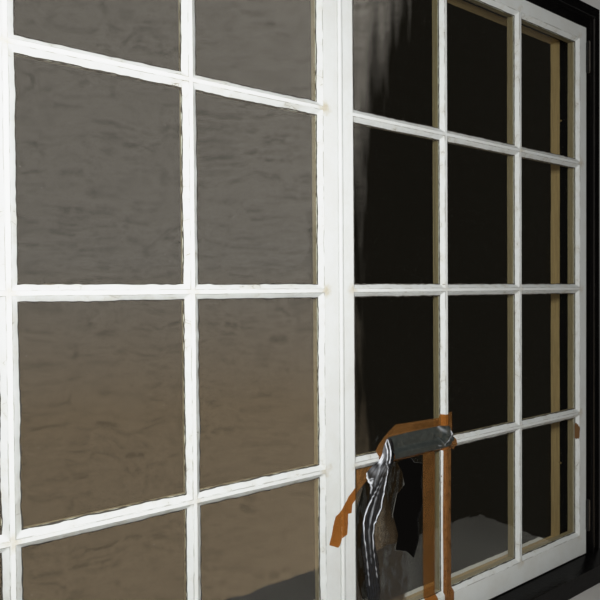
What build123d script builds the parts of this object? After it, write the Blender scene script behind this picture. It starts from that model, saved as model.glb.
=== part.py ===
from build123d import *
import math
import os

# A pair of side-hung sashes in one frame, three panes wide and four high each.
# X runs along the window, seen from outside, with the meeting joint at 0.
# Y runs inwards from the outer face. Z runs up from the underside of the sill.

os.makedirs("parts", exist_ok=True)

# Panes and glazing bars, in millimetres
PANE_COLS = 3
PANE_ROWS = 4
SIGHT_W = 225.0
SIGHT_H = 292.0
BAR_W = 23.0

# Stiles and rails of one sash
MEETING_STILE = 40.0
HINGE_STILE = 37.0
TOP_RAIL = 40.0
BOTTOM_RAIL = 60.0
SASH_T = 34.0
ARRIS = 1.0

# Glazing rebate, putty and glass
REBATE_W = 8.0
FACE_PUTTY = 9.0
GLASS_T = 3.0
BED_PUTTY = 1.0
GLASS_EDGE_GAP = 1.5
REBATE_D = FACE_PUTTY + GLASS_T + BED_PUTTY

# Moulding on the room side
FILLET_D = 3.0
QUIRK = 1.5
MOULD_W = 7.0
NOSE_D = 3.0
OVOLO_BULGE = 1.6

# Rounded nosing on the right sash's meeting stile
NOSING_W = 9.0
NOSING_PROUD = 2.0
NOSING_DROP = 3.0

# Running gaps round the sashes
MEETING_GAP = 2.5
SIDE_GAP = 2.0
TOP_GAP = 2.0
BOTTOM_GAP = 3.0
STOP_GAP = 1.5

# Frame
FRAME_DEPTH = 92.0
JAMB_FACE = 60.0
HEAD_FACE = 60.0
STOP_LAP = 14.0
BEAD_OFFSET = 29.0
BEAD_W = 12.0
BEAD_PROUD = 5.0
SILL_SEAT = 50.0
SILL_NOSE = 45.0
SILL_SLOPE = 8.0
SILL_STOP_LAP = 12.0
DRIP_SETBACK = 12.0
DRIP_W = 6.0
DRIP_D = 5.0

# Rail tenons
TENON_T = 11.0
TENON_SHOULDER = 11.0

# Butt hinges
HINGE_L = 75.0
HINGE_PLATE_T = 2.0
HINGE_PLATE_D = 22.0
HINGE_BELOW_TOP = 37.0
HINGE_ABOVE_FOOT = 62.0
KNUCKLE_R = 4.5
KNUCKLES = 5
KNUCKLE_GAP = 0.3
AXIS_PROUD = 5.0
PIN_R = 2.5
PIN_CLEARANCE = 0.05
PIN_HEAD_R = 3.6
PIN_HEAD_T = 3.0

# Screws
SCREW_HEAD_R = 3.6
SCREW_SHANK_R = 1.9
SCREW_L = 22.0
SCREW_SLOT_W = 0.9
SCREW_SLOT_D = 0.7
SHORT_SCREW_L = 14.0

# Fixing holes through the jambs
FIXING_R = 4.0
FIXING_SPACING = 900.0
FIXING_Y = 64.0

# Barrel bolts on the left sash
BOLT_PLATE_W = 24.0
BOLT_PLATE_L = 96.0
BOLT_PLATE_T = 2.0
BOLT_R = 4.0
BOLT_CLEARANCE = 0.1
BOLT_LOOP_WALL = 2.0
BOLT_LOOP_L = 12.0
BOLT_LOOP_SETBACK = 8.0
BOLT_AXIS = 11.0
BOLT_TRAVEL = 22.0
BOLT_END_GAP = 2.0
BOLT_KNOB_GAP = 0.3
BOLT_PLATE_SETBACK = 8.0
BOLT_KNOB_R = 2.5
BOLT_KNOB_L = 12.0
BOLT_BALL_R = 4.5
BOLT_HOLE_CLEARANCE = 2.0
BOLT_HOLE_SPARE = 8.0

# Turning fastener on the right sash and its strike on the left one
FASTENER_PLATE_W = 24.0
FASTENER_PLATE_L = 70.0
FASTENER_PLATE_T = 3.0
FASTENER_POST_R = 4.0
FASTENER_HUB_R = 10.0
FASTENER_HUB_L = 16.0
FASTENER_RUN_GAP = 0.3
FASTENER_FIT = 0.08
LEVER_L = 105.0
LEVER_ROOT_W = 12.0
LEVER_END_W = 8.0
LEVER_T = 7.0
LEVER_BALL_R = 7.0
NOSE_L = 36.0
NOSE_W = 10.0
NOSE_T = 5.0
STRIKE_L = 34.0
STRIKE_W = 18.0
STRIKE_T = 2.6

# Patch over the broken pane: tapes and a bag
TAPE_T = 0.6
TAPE_LIFT = 0.2
DUCT_T = 0.8
LAYER_GAP = 0.2
BAG_T = 12.0
BAG_GAP = 0.3

# Places worked out from the sizes above
LEAF_W = MEETING_STILE + HINGE_STILE + PANE_COLS * SIGHT_W + (PANE_COLS - 1) * BAR_W
LEAF_H = TOP_RAIL + BOTTOM_RAIL + PANE_ROWS * SIGHT_H + (PANE_ROWS - 1) * BAR_W
SLOPE = math.tan(math.radians(SILL_SLOPE))
STOP_Y = SASH_T + STOP_GAP
X_MEET = MEETING_GAP / 2
X_HINGE = X_MEET + LEAF_W
X_REBATE = X_HINGE + SIDE_GAP
X_OUT = X_REBATE + JAMB_FACE
Z_FOOT = SILL_SEAT + BOTTOM_GAP
Z_TOP = Z_FOOT + LEAF_H
Z_SOFFIT = Z_TOP + TOP_GAP
Z_HEAD = Z_SOFFIT + HEAD_FACE
Z_HEAD_STOP = Z_SOFFIT - STOP_LAP
Z_SILL_STOP = Z_FOOT + SASH_T * SLOPE + SILL_STOP_LAP
X_SIGHT = X_MEET + MEETING_STILE
Z_SIGHT = Z_FOOT + BOTTOM_RAIL
X_PITCH = SIGHT_W + BAR_W
Z_PITCH = SIGHT_H + BAR_W
AXIS_X = X_HINGE + SIDE_GAP / 2
AXIS_Y = -AXIS_PROUD
Z_HINGES = {
    "top": Z_TOP - HINGE_BELOW_TOP - HINGE_L,
    "bottom": Z_FOOT + HINGE_ABOVE_FOOT,
}
Z_MID_BAR = Z_SIGHT + (PANE_ROWS // 2) * Z_PITCH - BAR_W / 2
FLAT_X = X_MEET + (MEETING_STILE - MOULD_W) / 2
BOLT_KNOB_AT = BOLT_LOOP_SETBACK + BOLT_LOOP_L / 2 + BOLT_KNOB_GAP + BOLT_KNOB_R
BOLT_LOOPS = (
    BOLT_LOOP_SETBACK,
    BOLT_KNOB_AT + BOLT_TRAVEL + BOLT_KNOB_R + BOLT_KNOB_GAP + BOLT_LOOP_L / 2,
    BOLT_PLATE_L - BOLT_LOOP_SETBACK,
)
BOLT_HOLE_D = BOLT_TRAVEL - BOLT_END_GAP + BOLT_HOLE_SPARE

ALONG_X = (0, 0, 1)


def block(x0, x1, y0, y1, z0, z1):
    """A box between two corners."""
    size = Box(x1 - x0, y1 - y0, z1 - z0)
    return Pos((x0 + x1) / 2, (y0 + y1) / 2, (z0 + z1) / 2) * size


def across(face, x0, x1):
    """Carry a section drawn as (height, depth) along X."""
    plane = Plane(origin=(x1, 0, 0), x_dir=ALONG_X, z_dir=(-1, 0, 0))
    return extrude(plane * face, amount=x1 - x0)


def upright(face, z0, z1):
    """Carry a section drawn as (width, depth) along Z."""
    return Pos(0, 0, z0) * extrude(face, amount=z1 - z0)


def glass_side(sight, out):
    """Edge line of a member on its glass side, from the face to the room.

    sight is the sight line and out is +1 where the glass lies at larger values.
    """
    web = sight - out * REBATE_W
    nose = sight - out * MOULD_W
    shoulder = REBATE_D + FILLET_D
    start = (sight - out * QUIRK, shoulder)
    end = (nose, SASH_T - NOSE_D)
    middle = (
        (start[0] + end[0]) / 2 + out * OVOLO_BULGE,
        (start[1] + end[1]) / 2 + OVOLO_BULGE,
    )
    line = ThreePointArc(
        (web - out * ARRIS, 0),
        (web - out * ARRIS * 0.293, ARRIS * 0.293),
        (web, ARRIS),
    )
    line += Polyline((web, ARRIS), (web, REBATE_D), (sight, REBATE_D), (sight, shoulder), start)
    line += ThreePointArc(start, middle, end)
    line += Line(end, (nose, SASH_T))
    return line


def bar_section():
    """Glazing bar: a thin web outside, a moulded body inside."""
    half = BAR_W / 2
    web = half - REBATE_W - ARRIS
    nose = half - MOULD_W
    line = glass_side(half, 1) + glass_side(-half, -1)
    line += Line((-web, 0), (web, 0))
    line += Line((-nose, SASH_T), (nose, SASH_T))
    return make_face(line)


def edge_section(width):
    """Stile or rail: a plain outer edge at 0 and the glass side at width."""
    line = glass_side(width, 1)
    line += Polyline((width - MOULD_W, SASH_T), (0, SASH_T), (0, ARRIS))
    line += ThreePointArc((0, ARRIS), (ARRIS * 0.293, ARRIS * 0.293), (ARRIS, 0))
    line += Line((ARRIS, 0), (width - REBATE_W - ARRIS, 0))
    return make_face(line)


def nosed_section(width):
    """Meeting stile with a rounded nosing that stands proud at its edge."""
    line = glass_side(width, 1)
    line += Polyline((width - MOULD_W, SASH_T), (0, SASH_T), (0, NOSING_DROP))
    crown = (NOSING_W * 0.45, -NOSING_PROUD)
    line += ThreePointArc((0, NOSING_DROP), (NOSING_W * 0.12, -NOSING_PROUD * 0.45), crown)
    line += ThreePointArc(crown, (NOSING_W * 0.8, -NOSING_PROUD * 0.62), (NOSING_W, 0))
    line += Line((NOSING_W, 0), (width - REBATE_W - ARRIS, 0))
    return make_face(line)


def mirrored(shape):
    """The same piece on the left of the meeting joint."""
    return mirror(shape, about=Plane.YZ)


def make_screw(length):
    """Countersunk slotted screw, its head's top at 0, pointing down Z."""
    head = Pos(0, 0, -HINGE_PLATE_T / 2) * Cone(SCREW_SHANK_R, SCREW_HEAD_R, HINGE_PLATE_T)
    shank = Pos(0, 0, -length / 2) * Cylinder(SCREW_SHANK_R, length)
    return head + shank


def slotted(screw):
    """Cut the driver slot into a screw made by make_screw."""
    slot = Pos(0, 0, -SCREW_SLOT_D / 2) * Box(2 * SCREW_HEAD_R, SCREW_SLOT_W, SCREW_SLOT_D)
    return screw - slot


def screw_pair(length, place, facing):
    """A finished screw and the plain shape that is cut out for it."""
    plane = Plane(origin=place, z_dir=facing)
    plain = make_screw(length)
    return plane * slotted(plain), plane * plain


# Sash members, all drawn for the right sash and mirrored for the left


def foot_wedge():
    """What is cut from a sash's foot to follow the sill's slope."""
    rise = SASH_T * SLOPE
    face = make_face(Polyline((Z_FOOT, 0), (Z_FOOT + rise, SASH_T), (Z_FOOT, SASH_T), (Z_FOOT, 0)))
    return across(face, X_MEET, X_HINGE)


def tenon(x0, x1, z0, z1):
    """Tenon between two heights, in line with the glazing rebate."""
    return block(x0, x1, REBATE_D, REBATE_D + TENON_T, z0, z1)


def place_section(face, at, flip):
    """Turn a section round its zero line where flip is true, then move it."""
    turned = mirror(face, about=Plane.YZ) if flip else face
    return Pos(at, 0, 0) * turned


def build_leaf(nosed):
    """All timber of one sash, as a dict of pieces drawn on the right."""
    x_in_hinge = X_HINGE - HINGE_STILE
    z_in_top = Z_TOP - TOP_RAIL
    meet_face = nosed_section(MEETING_STILE) if nosed else edge_section(MEETING_STILE)
    meet = upright(place_section(meet_face, X_MEET, False), Z_FOOT, Z_TOP)
    hinge = upright(place_section(edge_section(HINGE_STILE), X_HINGE, True), Z_FOOT, Z_TOP)
    x_web_meet = X_SIGHT - REBATE_W
    x_web_hinge = x_in_hinge + REBATE_W
    top_face = place_section(edge_section(TOP_RAIL), Z_TOP, True)
    top = across(top_face, x_web_meet, x_web_hinge)
    bottom_face = place_section(edge_section(BOTTOM_RAIL), Z_FOOT, False)
    bottom = across(bottom_face, x_web_meet, x_web_hinge)
    uprights = []
    for col in range(1, PANE_COLS):
        x = X_SIGHT + col * X_PITCH - BAR_W / 2
        bar = upright(Pos(x, 0, 0) * bar_section(), Z_SIGHT - REBATE_W, z_in_top + REBATE_W)
        uprights.append(bar)
    rows = []
    for row in range(1, PANE_ROWS):
        z = z_in_top - row * Z_PITCH + BAR_W / 2
        bar = across(Pos(z, 0, 0) * bar_section(), x_web_meet, x_web_hinge)
        for stick in uprights:
            bar = bar - stick
        rows.append(bar - meet - hinge)
    uprights = [stick - top - bottom for stick in uprights]
    wedge = foot_wedge()
    top_cut = top - meet - hinge
    bottom_cut = bottom - meet - hinge - wedge
    levels = [
        (Z_TOP - TOP_RAIL + REBATE_W, Z_TOP - TENON_SHOULDER),
        (Z_FOOT + TENON_SHOULDER, Z_SIGHT - REBATE_W),
    ]
    rails = [top_cut, bottom_cut]
    for i, (z0, z1) in enumerate(levels):
        left_tenon = tenon(X_MEET, x_web_meet, z0, z1)
        right_tenon = tenon(x_web_hinge, X_HINGE, z0, z1)
        left_reach = tenon(X_MEET, X_SIGHT, z0, z1)
        right_reach = tenon(x_in_hinge, X_HINGE, z0, z1)
        meet = meet - left_reach
        hinge = hinge - right_reach
        rails[i] = rails[i] + left_reach + right_reach
    return {
        "meeting_stile": meet - wedge,
        "hinge_stile": hinge - wedge,
        "top_rail": rails[0],
        "bottom_rail": rails[1],
        "uprights": uprights,
        "rows": rows,
    }


# Glass and putty


def pane_corner(row, col):
    """Lower corner of a pane's sight size; rows count from the top, from 0."""
    x = X_SIGHT + col * X_PITCH
    z = Z_TOP - TOP_RAIL - (row + 1) * SIGHT_H - row * BAR_W
    return x, z


def make_pane(row, col):
    """A pane of glass, held in its rebate on all four sides."""
    x, z = pane_corner(row, col)
    lap = REBATE_W - GLASS_EDGE_GAP
    return block(x - lap, x + SIGHT_W + lap, FACE_PUTTY, FACE_PUTTY + GLASS_T,
                 z - lap, z + SIGHT_H + lap)


def make_putty(row, col):
    """Bedding and face putty round a pane, bevelled from the bar to the glass."""
    x, z = pane_corner(row, col)
    ring = block(x - REBATE_W, x + SIGHT_W + REBATE_W, ARRIS, REBATE_D,
                 z - REBATE_W, z + SIGHT_H + REBATE_W)
    ring = ring - block(x, x + SIGHT_W, ARRIS, REBATE_D, z, z + SIGHT_H)
    lean = math.degrees(math.atan(REBATE_W / (FACE_PUTTY - ARRIS)))
    centre = (x + SIGHT_W / 2, FACE_PUTTY, z + SIGHT_H / 2)
    plane = Plane(origin=centre, x_dir=(1, 0, 0), z_dir=(0, -1, 0))
    funnel = extrude(plane * Rectangle(SIGHT_W, SIGHT_H), amount=FACE_PUTTY - ARRIS, taper=-lean)
    return ring - funnel - make_pane(row, col)


# Frame


def sill_section():
    """Sill as (height, depth): sloping top, stop behind the sashes, drip groove."""
    nose_top = SILL_SEAT - SILL_NOSE * SLOPE
    groove = -SILL_NOSE + DRIP_SETBACK
    return make_face(Polyline(
        (0, -SILL_NOSE),
        (nose_top, -SILL_NOSE),
        (SILL_SEAT + STOP_Y * SLOPE, STOP_Y),
        (Z_SILL_STOP, STOP_Y),
        (Z_SILL_STOP, FRAME_DEPTH),
        (0, FRAME_DEPTH),
        (0, groove + DRIP_W),
        (DRIP_D, groove + DRIP_W),
        (DRIP_D, groove),
        (0, groove),
        (0, -SILL_NOSE),
    ))


def jamb_section():
    """Jamb as (width, depth) with the rebate that the sash closes into."""
    return make_face(Polyline(
        (X_REBATE, 0),
        (X_REBATE, STOP_Y),
        (X_REBATE - STOP_LAP, STOP_Y),
        (X_REBATE - STOP_LAP, FRAME_DEPTH),
        (X_OUT, FRAME_DEPTH),
        (X_OUT, 0),
        (X_REBATE, 0),
    ))


def head_section():
    """Head as (height, depth), rebated like the jambs."""
    return make_face(Polyline(
        (Z_SOFFIT, 0),
        (Z_SOFFIT, STOP_Y),
        (Z_HEAD_STOP, STOP_Y),
        (Z_HEAD_STOP, FRAME_DEPTH),
        (Z_HEAD, FRAME_DEPTH),
        (Z_HEAD, 0),
        (Z_SOFFIT, 0),
    ))


def bead_section(centre):
    """Half-round bead worked on the outer face."""
    line = ThreePointArc((centre - BEAD_W / 2, 0), (centre, -BEAD_PROUD), (centre + BEAD_W / 2, 0))
    line += Line((centre + BEAD_W / 2, 0), (centre - BEAD_W / 2, 0))
    return make_face(line)


def build_frame():
    """Sill, head and two jambs, with one bead mitred round the three sides."""
    sill = across(sill_section(), -X_OUT, X_OUT)
    head = across(head_section(), -X_OUT, X_OUT)
    jamb = upright(jamb_section(), 0, Z_HEAD) - sill - head
    x_bead = X_REBATE + BEAD_OFFSET
    z_bead = Z_SOFFIT + BEAD_OFFSET
    side = upright(bead_section(x_bead), 0, z_bead + BEAD_W) - sill
    mitre = Plane(origin=(x_bead, 0, z_bead), z_dir=(-1, 0, 1))
    side = split(side, bisect_by=mitre, keep=Keep.BOTTOM)
    over = across(bead_section(z_bead), -x_bead - BEAD_W, x_bead + BEAD_W)
    over = split(over, bisect_by=mitre, keep=Keep.TOP)
    far_mitre = Plane(origin=(-x_bead, 0, z_bead), z_dir=(1, 0, 1))
    over = split(over, bisect_by=far_mitre, keep=Keep.TOP)
    on_jamb = split(side, bisect_by=Plane(origin=(0, 0, Z_SOFFIT)), keep=Keep.BOTTOM)
    on_head = split(side, bisect_by=Plane(origin=(0, 0, Z_SOFFIT)), keep=Keep.TOP)
    head = head + over + on_head + mirrored(on_head)
    jamb = jamb + on_jamb
    z_mid = Z_FOOT + LEAF_H / 2
    for z in (z_mid - FIXING_SPACING / 2, z_mid + FIXING_SPACING / 2):
        hole = Plane(origin=(X_OUT, FIXING_Y, z), z_dir=(1, 0, 0)) * Cylinder(FIXING_R, 4 * JAMB_FACE)
        jamb = jamb - hole
    return sill, head, jamb


# Hinges


def hinge_half(z0, on_frame):
    """One plate with its knuckles; the frame's plate has the odd knuckles."""
    x_plate = X_REBATE if on_frame else X_HINGE - HINGE_PLATE_T
    plate = block(x_plate, x_plate + HINGE_PLATE_T, 0, HINGE_PLATE_D, z0, z0 + HINGE_L)
    length = HINGE_L / KNUCKLES
    for i in range(KNUCKLES):
        if (i % 2 == 0) != on_frame:
            continue
        low = z0 + i * length + (KNUCKLE_GAP / 2 if i else 0)
        high = z0 + (i + 1) * length - (KNUCKLE_GAP / 2 if i < KNUCKLES - 1 else 0)
        web = block(x_plate, x_plate + HINGE_PLATE_T, AXIS_Y, 0, low, high)
        tube = Pos(AXIS_X, AXIS_Y, (low + high) / 2) * Cylinder(KNUCKLE_R, high - low)
        plate = plate + web + tube
    bore = Pos(AXIS_X, AXIS_Y, z0 + HINGE_L / 2) * Cylinder(PIN_R + PIN_CLEARANCE, HINGE_L)
    return plate - bore


def hinge_pin(z0):
    """Loose pin with a small button at each end."""
    pin = Pos(AXIS_X, AXIS_Y, z0 + HINGE_L / 2) * Cylinder(PIN_R, HINGE_L)
    for z, tip in ((z0 - PIN_HEAD_T / 2, -1), (z0 + HINGE_L + PIN_HEAD_T / 2, 1)):
        button = Pos(AXIS_X, AXIS_Y, z) * Cylinder(PIN_HEAD_R, PIN_HEAD_T)
        rim = button.edges().group_by(Axis.Z)[-1 if tip > 0 else 0]
        pin = pin + chamfer(rim, PIN_HEAD_T / 3)
    return pin


def hinge_screws(z0, on_frame):
    """Three staggered screws through a hinge plate into the timber."""
    pairs = []
    for i, share in enumerate((0.17, 0.5, 0.83)):
        y = HINGE_PLATE_D * (0.42 if i == 1 else 0.66)
        x = X_REBATE if on_frame else X_HINGE
        facing = (-1, 0, 0) if on_frame else (1, 0, 0)
        pairs.append(screw_pair(SCREW_L, (x, y, z0 + share * HINGE_L), facing))
    return pairs


# Barrel bolt, drawn on the right at FLAT_X and mirrored on to the left sash


def bolt_parts(z_plate, up):
    """Plate with three loops, the rod, screws, and the hole that the rod enters."""
    y_face = SASH_T
    y_axis = SASH_T + BOLT_AXIS
    loop_r = BOLT_R + BOLT_CLEARANCE + BOLT_LOOP_WALL
    plate = block(FLAT_X - BOLT_PLATE_W / 2, FLAT_X + BOLT_PLATE_W / 2,
                  y_face, y_face + BOLT_PLATE_T, z_plate, z_plate + BOLT_PLATE_L)
    for along in BOLT_LOOPS:
        z = z_plate + (along if up else BOLT_PLATE_L - along)
        ring = Pos(FLAT_X, y_axis, z) * Cylinder(loop_r, BOLT_LOOP_L)
        ring += block(FLAT_X - loop_r, FLAT_X + loop_r, y_face + BOLT_PLATE_T, y_axis,
                      z - BOLT_LOOP_L / 2, z + BOLT_LOOP_L / 2)
        plate = plate + ring
    bore = Cylinder(BOLT_R + BOLT_CLEARANCE, BOLT_PLATE_L)
    plate = plate - Pos(FLAT_X, y_axis, z_plate + BOLT_PLATE_L / 2) * bore
    seat = Z_HEAD_STOP if up else Z_SILL_STOP
    way = 1 if up else -1
    tip = seat - way * BOLT_END_GAP
    tail = z_plate + BOLT_LOOP_L / 4 if up else z_plate + BOLT_PLATE_L - BOLT_LOOP_L / 4
    rod = Pos(FLAT_X, y_axis, (tip + tail) / 2) * Cylinder(BOLT_R, abs(tip - tail))
    z_knob = z_plate + (BOLT_KNOB_AT if up else BOLT_PLATE_L - BOLT_KNOB_AT)
    stem_mid = (FLAT_X, y_axis + BOLT_KNOB_L / 2, z_knob)
    stem = Plane(origin=stem_mid, z_dir=(0, 1, 0)) * Cylinder(BOLT_KNOB_R, BOLT_KNOB_L)
    ball = Pos(FLAT_X, y_axis + BOLT_KNOB_L + BOLT_BALL_R / 2, z_knob) * Sphere(BOLT_BALL_R)
    rod = rod + stem + ball
    hole_r = BOLT_R + BOLT_HOLE_CLEARANCE
    hole = Pos(FLAT_X, y_axis, seat + way * BOLT_HOLE_D / 2) * Cylinder(hole_r, BOLT_HOLE_D)
    pairs = []
    for share in (0.33, 0.74):
        along = share if up else 1 - share
        for side in (-1, 1):
            x = FLAT_X + side * (BOLT_PLATE_W / 2 - SCREW_HEAD_R - 0.6)
            place = (x, y_face + BOLT_PLATE_T, z_plate + along * BOLT_PLATE_L)
            pairs.append(screw_pair(SHORT_SCREW_L, place, (0, 1, 0)))
    return plate, rod, hole, pairs


# Turning fastener


def fastener_parts():
    """Plate with its post, lever with its nose, strike plate, and their screws."""
    y0 = SASH_T
    y1 = SASH_T + FASTENER_PLATE_T
    z = Z_MID_BAR
    plate = block(FLAT_X - FASTENER_PLATE_W / 2, FLAT_X + FASTENER_PLATE_W / 2, y0, y1,
                  z - FASTENER_PLATE_L / 2, z + FASTENER_PLATE_L / 2)
    post_l = FASTENER_HUB_L + 2 * FASTENER_RUN_GAP
    post = Plane(origin=(FLAT_X, y1 + post_l / 2, z), z_dir=(0, 1, 0)) * Cylinder(FASTENER_POST_R, post_l)
    cap_y = y1 + post_l + FASTENER_PLATE_T / 2
    cap_plane = Plane(origin=(FLAT_X, cap_y, z), z_dir=(0, 1, 0))
    cap = cap_plane * Cylinder(FASTENER_POST_R * 1.6, FASTENER_PLATE_T)
    plate = plate + post + cap
    y_hub = y1 + FASTENER_RUN_GAP
    hub_mid = (FLAT_X, y_hub + FASTENER_HUB_L / 2, z)
    hub = Plane(origin=hub_mid, z_dir=(0, 1, 0)) * Cylinder(FASTENER_HUB_R, FASTENER_HUB_L)
    y_lever = y_hub + FASTENER_HUB_L - LEVER_T
    lever_plane = Plane(origin=(0, y_lever + LEVER_T, 0), x_dir=(1, 0, 0), z_dir=(0, -1, 0))
    outline = make_face(Polyline(
        (FLAT_X, z - LEVER_ROOT_W / 2),
        (FLAT_X + LEVER_L, z - LEVER_END_W / 2),
        (FLAT_X + LEVER_L, z + LEVER_END_W / 2),
        (FLAT_X, z + LEVER_ROOT_W / 2),
        (FLAT_X, z - LEVER_ROOT_W / 2),
    ))
    lever = extrude(lever_plane * outline, amount=LEVER_T)
    ball = Pos(FLAT_X + LEVER_L, y_lever + LEVER_T / 2, z) * Sphere(LEVER_BALL_R)
    nose = block(FLAT_X - NOSE_W / 2, FLAT_X + NOSE_W / 2, y_hub, y_hub + NOSE_T, z - NOSE_L, z)
    handle = hub + lever + ball + nose
    handle = handle - Plane(origin=hub_mid, z_dir=(0, 1, 0)) * Cylinder(
        FASTENER_POST_R + FASTENER_FIT, 2 * FASTENER_HUB_L)
    strike = block(-FLAT_X - STRIKE_W / 2, -FLAT_X + STRIKE_W / 2, y0, y0 + STRIKE_T,
                   z - STRIKE_L / 2, z + STRIKE_L / 2)
    plate_screws = []
    strike_screws = []
    for side in (-1, 1):
        place = (FLAT_X, y1, z + side * (FASTENER_PLATE_L / 2 - 2 * SCREW_HEAD_R))
        plate_screws.append(screw_pair(SHORT_SCREW_L, place, (0, 1, 0)))
        place = (-FLAT_X, y0 + STRIKE_T, z + side * (STRIKE_L / 2 - 1.6 * SCREW_HEAD_R))
        strike_screws.append(screw_pair(SHORT_SCREW_L, place, (0, 1, 0)))
    return plate, handle, strike, plate_screws, strike_screws


# Patch over the broken pane, placed from the sight lines of that pane

PATCH_ROW = PANE_ROWS - 1
PATCH_X, PATCH_Z = pane_corner(PATCH_ROW, 0)
PATCH_TOP = PATCH_Z + SIGHT_H
BAR_Z = PATCH_TOP + BAR_W / 2
BAR_X = PATCH_X + SIGHT_W + BAR_W / 2


def relief():
    """Outer surface round the broken pane: glass, bars, stiles and bottom rail."""
    half = BAR_W / 2
    web = half - REBATE_W
    low = Z_FOOT
    high = BAR_Z + SIGHT_H
    left = -X_MEET - MEETING_STILE
    right = BAR_X + SIGHT_W
    solid = block(left, right, FACE_PUTTY, SASH_T, low, high)
    bar = make_face(Polyline((-half, FACE_PUTTY), (-web, 0), (web, 0), (half, FACE_PUTTY),
                             (-half, FACE_PUTTY)))
    solid += upright(Pos(BAR_X, 0, 0) * bar, low, high)
    solid += across(Pos(BAR_Z, 0, 0) * bar, X_MEET, right)
    stile = make_face(Polyline(
        (X_MEET, FACE_PUTTY), (X_MEET, -NOSING_PROUD), (X_MEET + NOSING_W, -NOSING_PROUD),
        (X_MEET + NOSING_W + NOSING_PROUD, 0), (X_SIGHT - REBATE_W, 0), (X_SIGHT, FACE_PUTTY),
        (X_MEET, FACE_PUTTY)))
    solid += upright(stile, low, high)
    solid += block(left, -X_MEET, 0, FACE_PUTTY, low, high)
    rail = make_face(Polyline((low, FACE_PUTTY), (low, 0), (Z_SIGHT - REBATE_W, 0),
                              (Z_SIGHT, FACE_PUTTY), (low, FACE_PUTTY)))
    solid += across(rail, X_MEET, right)
    return solid


def tape(outline, lift, thick, ground):
    """A strip of tape that follows the ground, cut to an outline seen from outside."""
    deep = FACE_PUTTY + NOSING_PROUD + 2 * lift + 2 * thick
    plane = Plane(origin=(0, FACE_PUTTY, 0), x_dir=(1, 0, 0), z_dir=(0, -1, 0))
    cutter = extrude(plane * make_face(Polyline(*outline, outline[0])), amount=deep)
    outer = Pos(0, -lift - thick, 0) * ground
    inner = Pos(0, -lift, 0) * ground
    return cutter & (outer - inner)


def patch_parts():
    """Duct tape, brown tapes and the gathered bag."""
    ground = relief()
    half = BAR_W / 2
    band = tape([
        (PATCH_X + 52, BAR_Z - half),
        (PATCH_X + 56, BAR_Z + 22),
        (PATCH_X + 82, BAR_Z + 46),
        (PATCH_X + 97, BAR_Z + 58),
        (BAR_X - half, BAR_Z + 54),
        (BAR_X + half + 3, BAR_Z + 60),
        (BAR_X + half + 1, BAR_Z - 6),
        (BAR_X + half + 10, BAR_Z - 18),
        (BAR_X + half - 6, BAR_Z - 14),
        (BAR_X - half, BAR_Z - half),
    ], TAPE_LIFT, TAPE_T, ground)
    lift = TAPE_LIFT + TAPE_T + LAYER_GAP
    duct = tape([
        (PATCH_X + 86, BAR_Z + 33),
        (PATCH_X + 88, BAR_Z - 9),
        (BAR_X - half + 15, BAR_Z - 8),
        (BAR_X + half + 8, BAR_Z + 8),
        (BAR_X + half + 5, BAR_Z + 27),
        (BAR_X + half - 6, BAR_Z + 36),
    ], lift, DUCT_T, ground)
    corner = tape([
        (PATCH_X + 1, PATCH_TOP - 1),
        (PATCH_X + 50, PATCH_TOP - 1),
        (PATCH_X + 27, PATCH_TOP - 32),
        (PATCH_X - 4, PATCH_TOP - 58),
        (PATCH_X - 14, PATCH_TOP - 62),
        (X_MEET + 0.2, PATCH_TOP - 104),
        (X_MEET + 0.2, PATCH_TOP - 62),
        (PATCH_X - 12, PATCH_TOP - 32),
        (PATCH_X + 1, PATCH_TOP - 22),
    ], TAPE_LIFT, TAPE_T, ground)
    left_end = tape([
        (-X_MEET - 0.2, PATCH_TOP - 66),
        (-X_MEET - 0.2, PATCH_TOP - 106),
        (-X_MEET - 6, PATCH_TOP - 128),
        (-X_MEET - 31, PATCH_TOP - 120),
        (-X_MEET - 14, PATCH_TOP - 82),
    ], TAPE_LIFT, TAPE_T, ground)
    foot = Z_SIGHT - REBATE_W - 22
    strip = tape([
        (BAR_X - half - 52, BAR_Z - half - 2),
        (BAR_X - half - 18, BAR_Z - half - 2),
        (BAR_X - half - 19, foot),
        (BAR_X - half - 51, foot + 5),
    ], TAPE_LIFT, TAPE_T, ground)
    bar_strip = tape([
        (BAR_X - 7, BAR_Z - half - 6),
        (BAR_X + 10, BAR_Z - half - 6),
        (BAR_X + 9, foot + 3),
        (BAR_X - 8, foot),
    ], TAPE_LIFT, TAPE_T, ground)
    bag = bag_solid(TAPE_LIFT + TAPE_T + BAG_GAP)
    return band, duct, corner, left_end, strip + bar_strip, bag


def bag_solid(clear):
    """Bag gathered at the bar and hanging down the pane: one closed slab."""
    outline = [
        (PATCH_X + 68, BAR_Z + 33),
        (PATCH_X + 84, BAR_Z + 34),
        (PATCH_X + 86, BAR_Z - 12),
        (PATCH_X + 80, BAR_Z - 62),
        (PATCH_X + 62, BAR_Z - 125),
        (PATCH_X + 50, BAR_Z - 190),
        (PATCH_X + 52, BAR_Z - 262),
        (PATCH_X + 20, BAR_Z - 266),
        (PATCH_X + 12, BAR_Z - 190),
        (PATCH_X + 22, BAR_Z - 118),
        (PATCH_X + 38, BAR_Z - 62),
        (PATCH_X + 24, BAR_Z - 22),
        (PATCH_X + 50, BAR_Z - 14),
        (PATCH_X + 62, BAR_Z + 2),
    ]
    plane = Plane(origin=(0, -clear, 0), x_dir=(1, 0, 0), z_dir=(0, -1, 0))
    return extrude(plane * make_face(Polyline(*outline, outline[0])), amount=BAG_T)


# The part of the broken pane that is left round the hole

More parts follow.
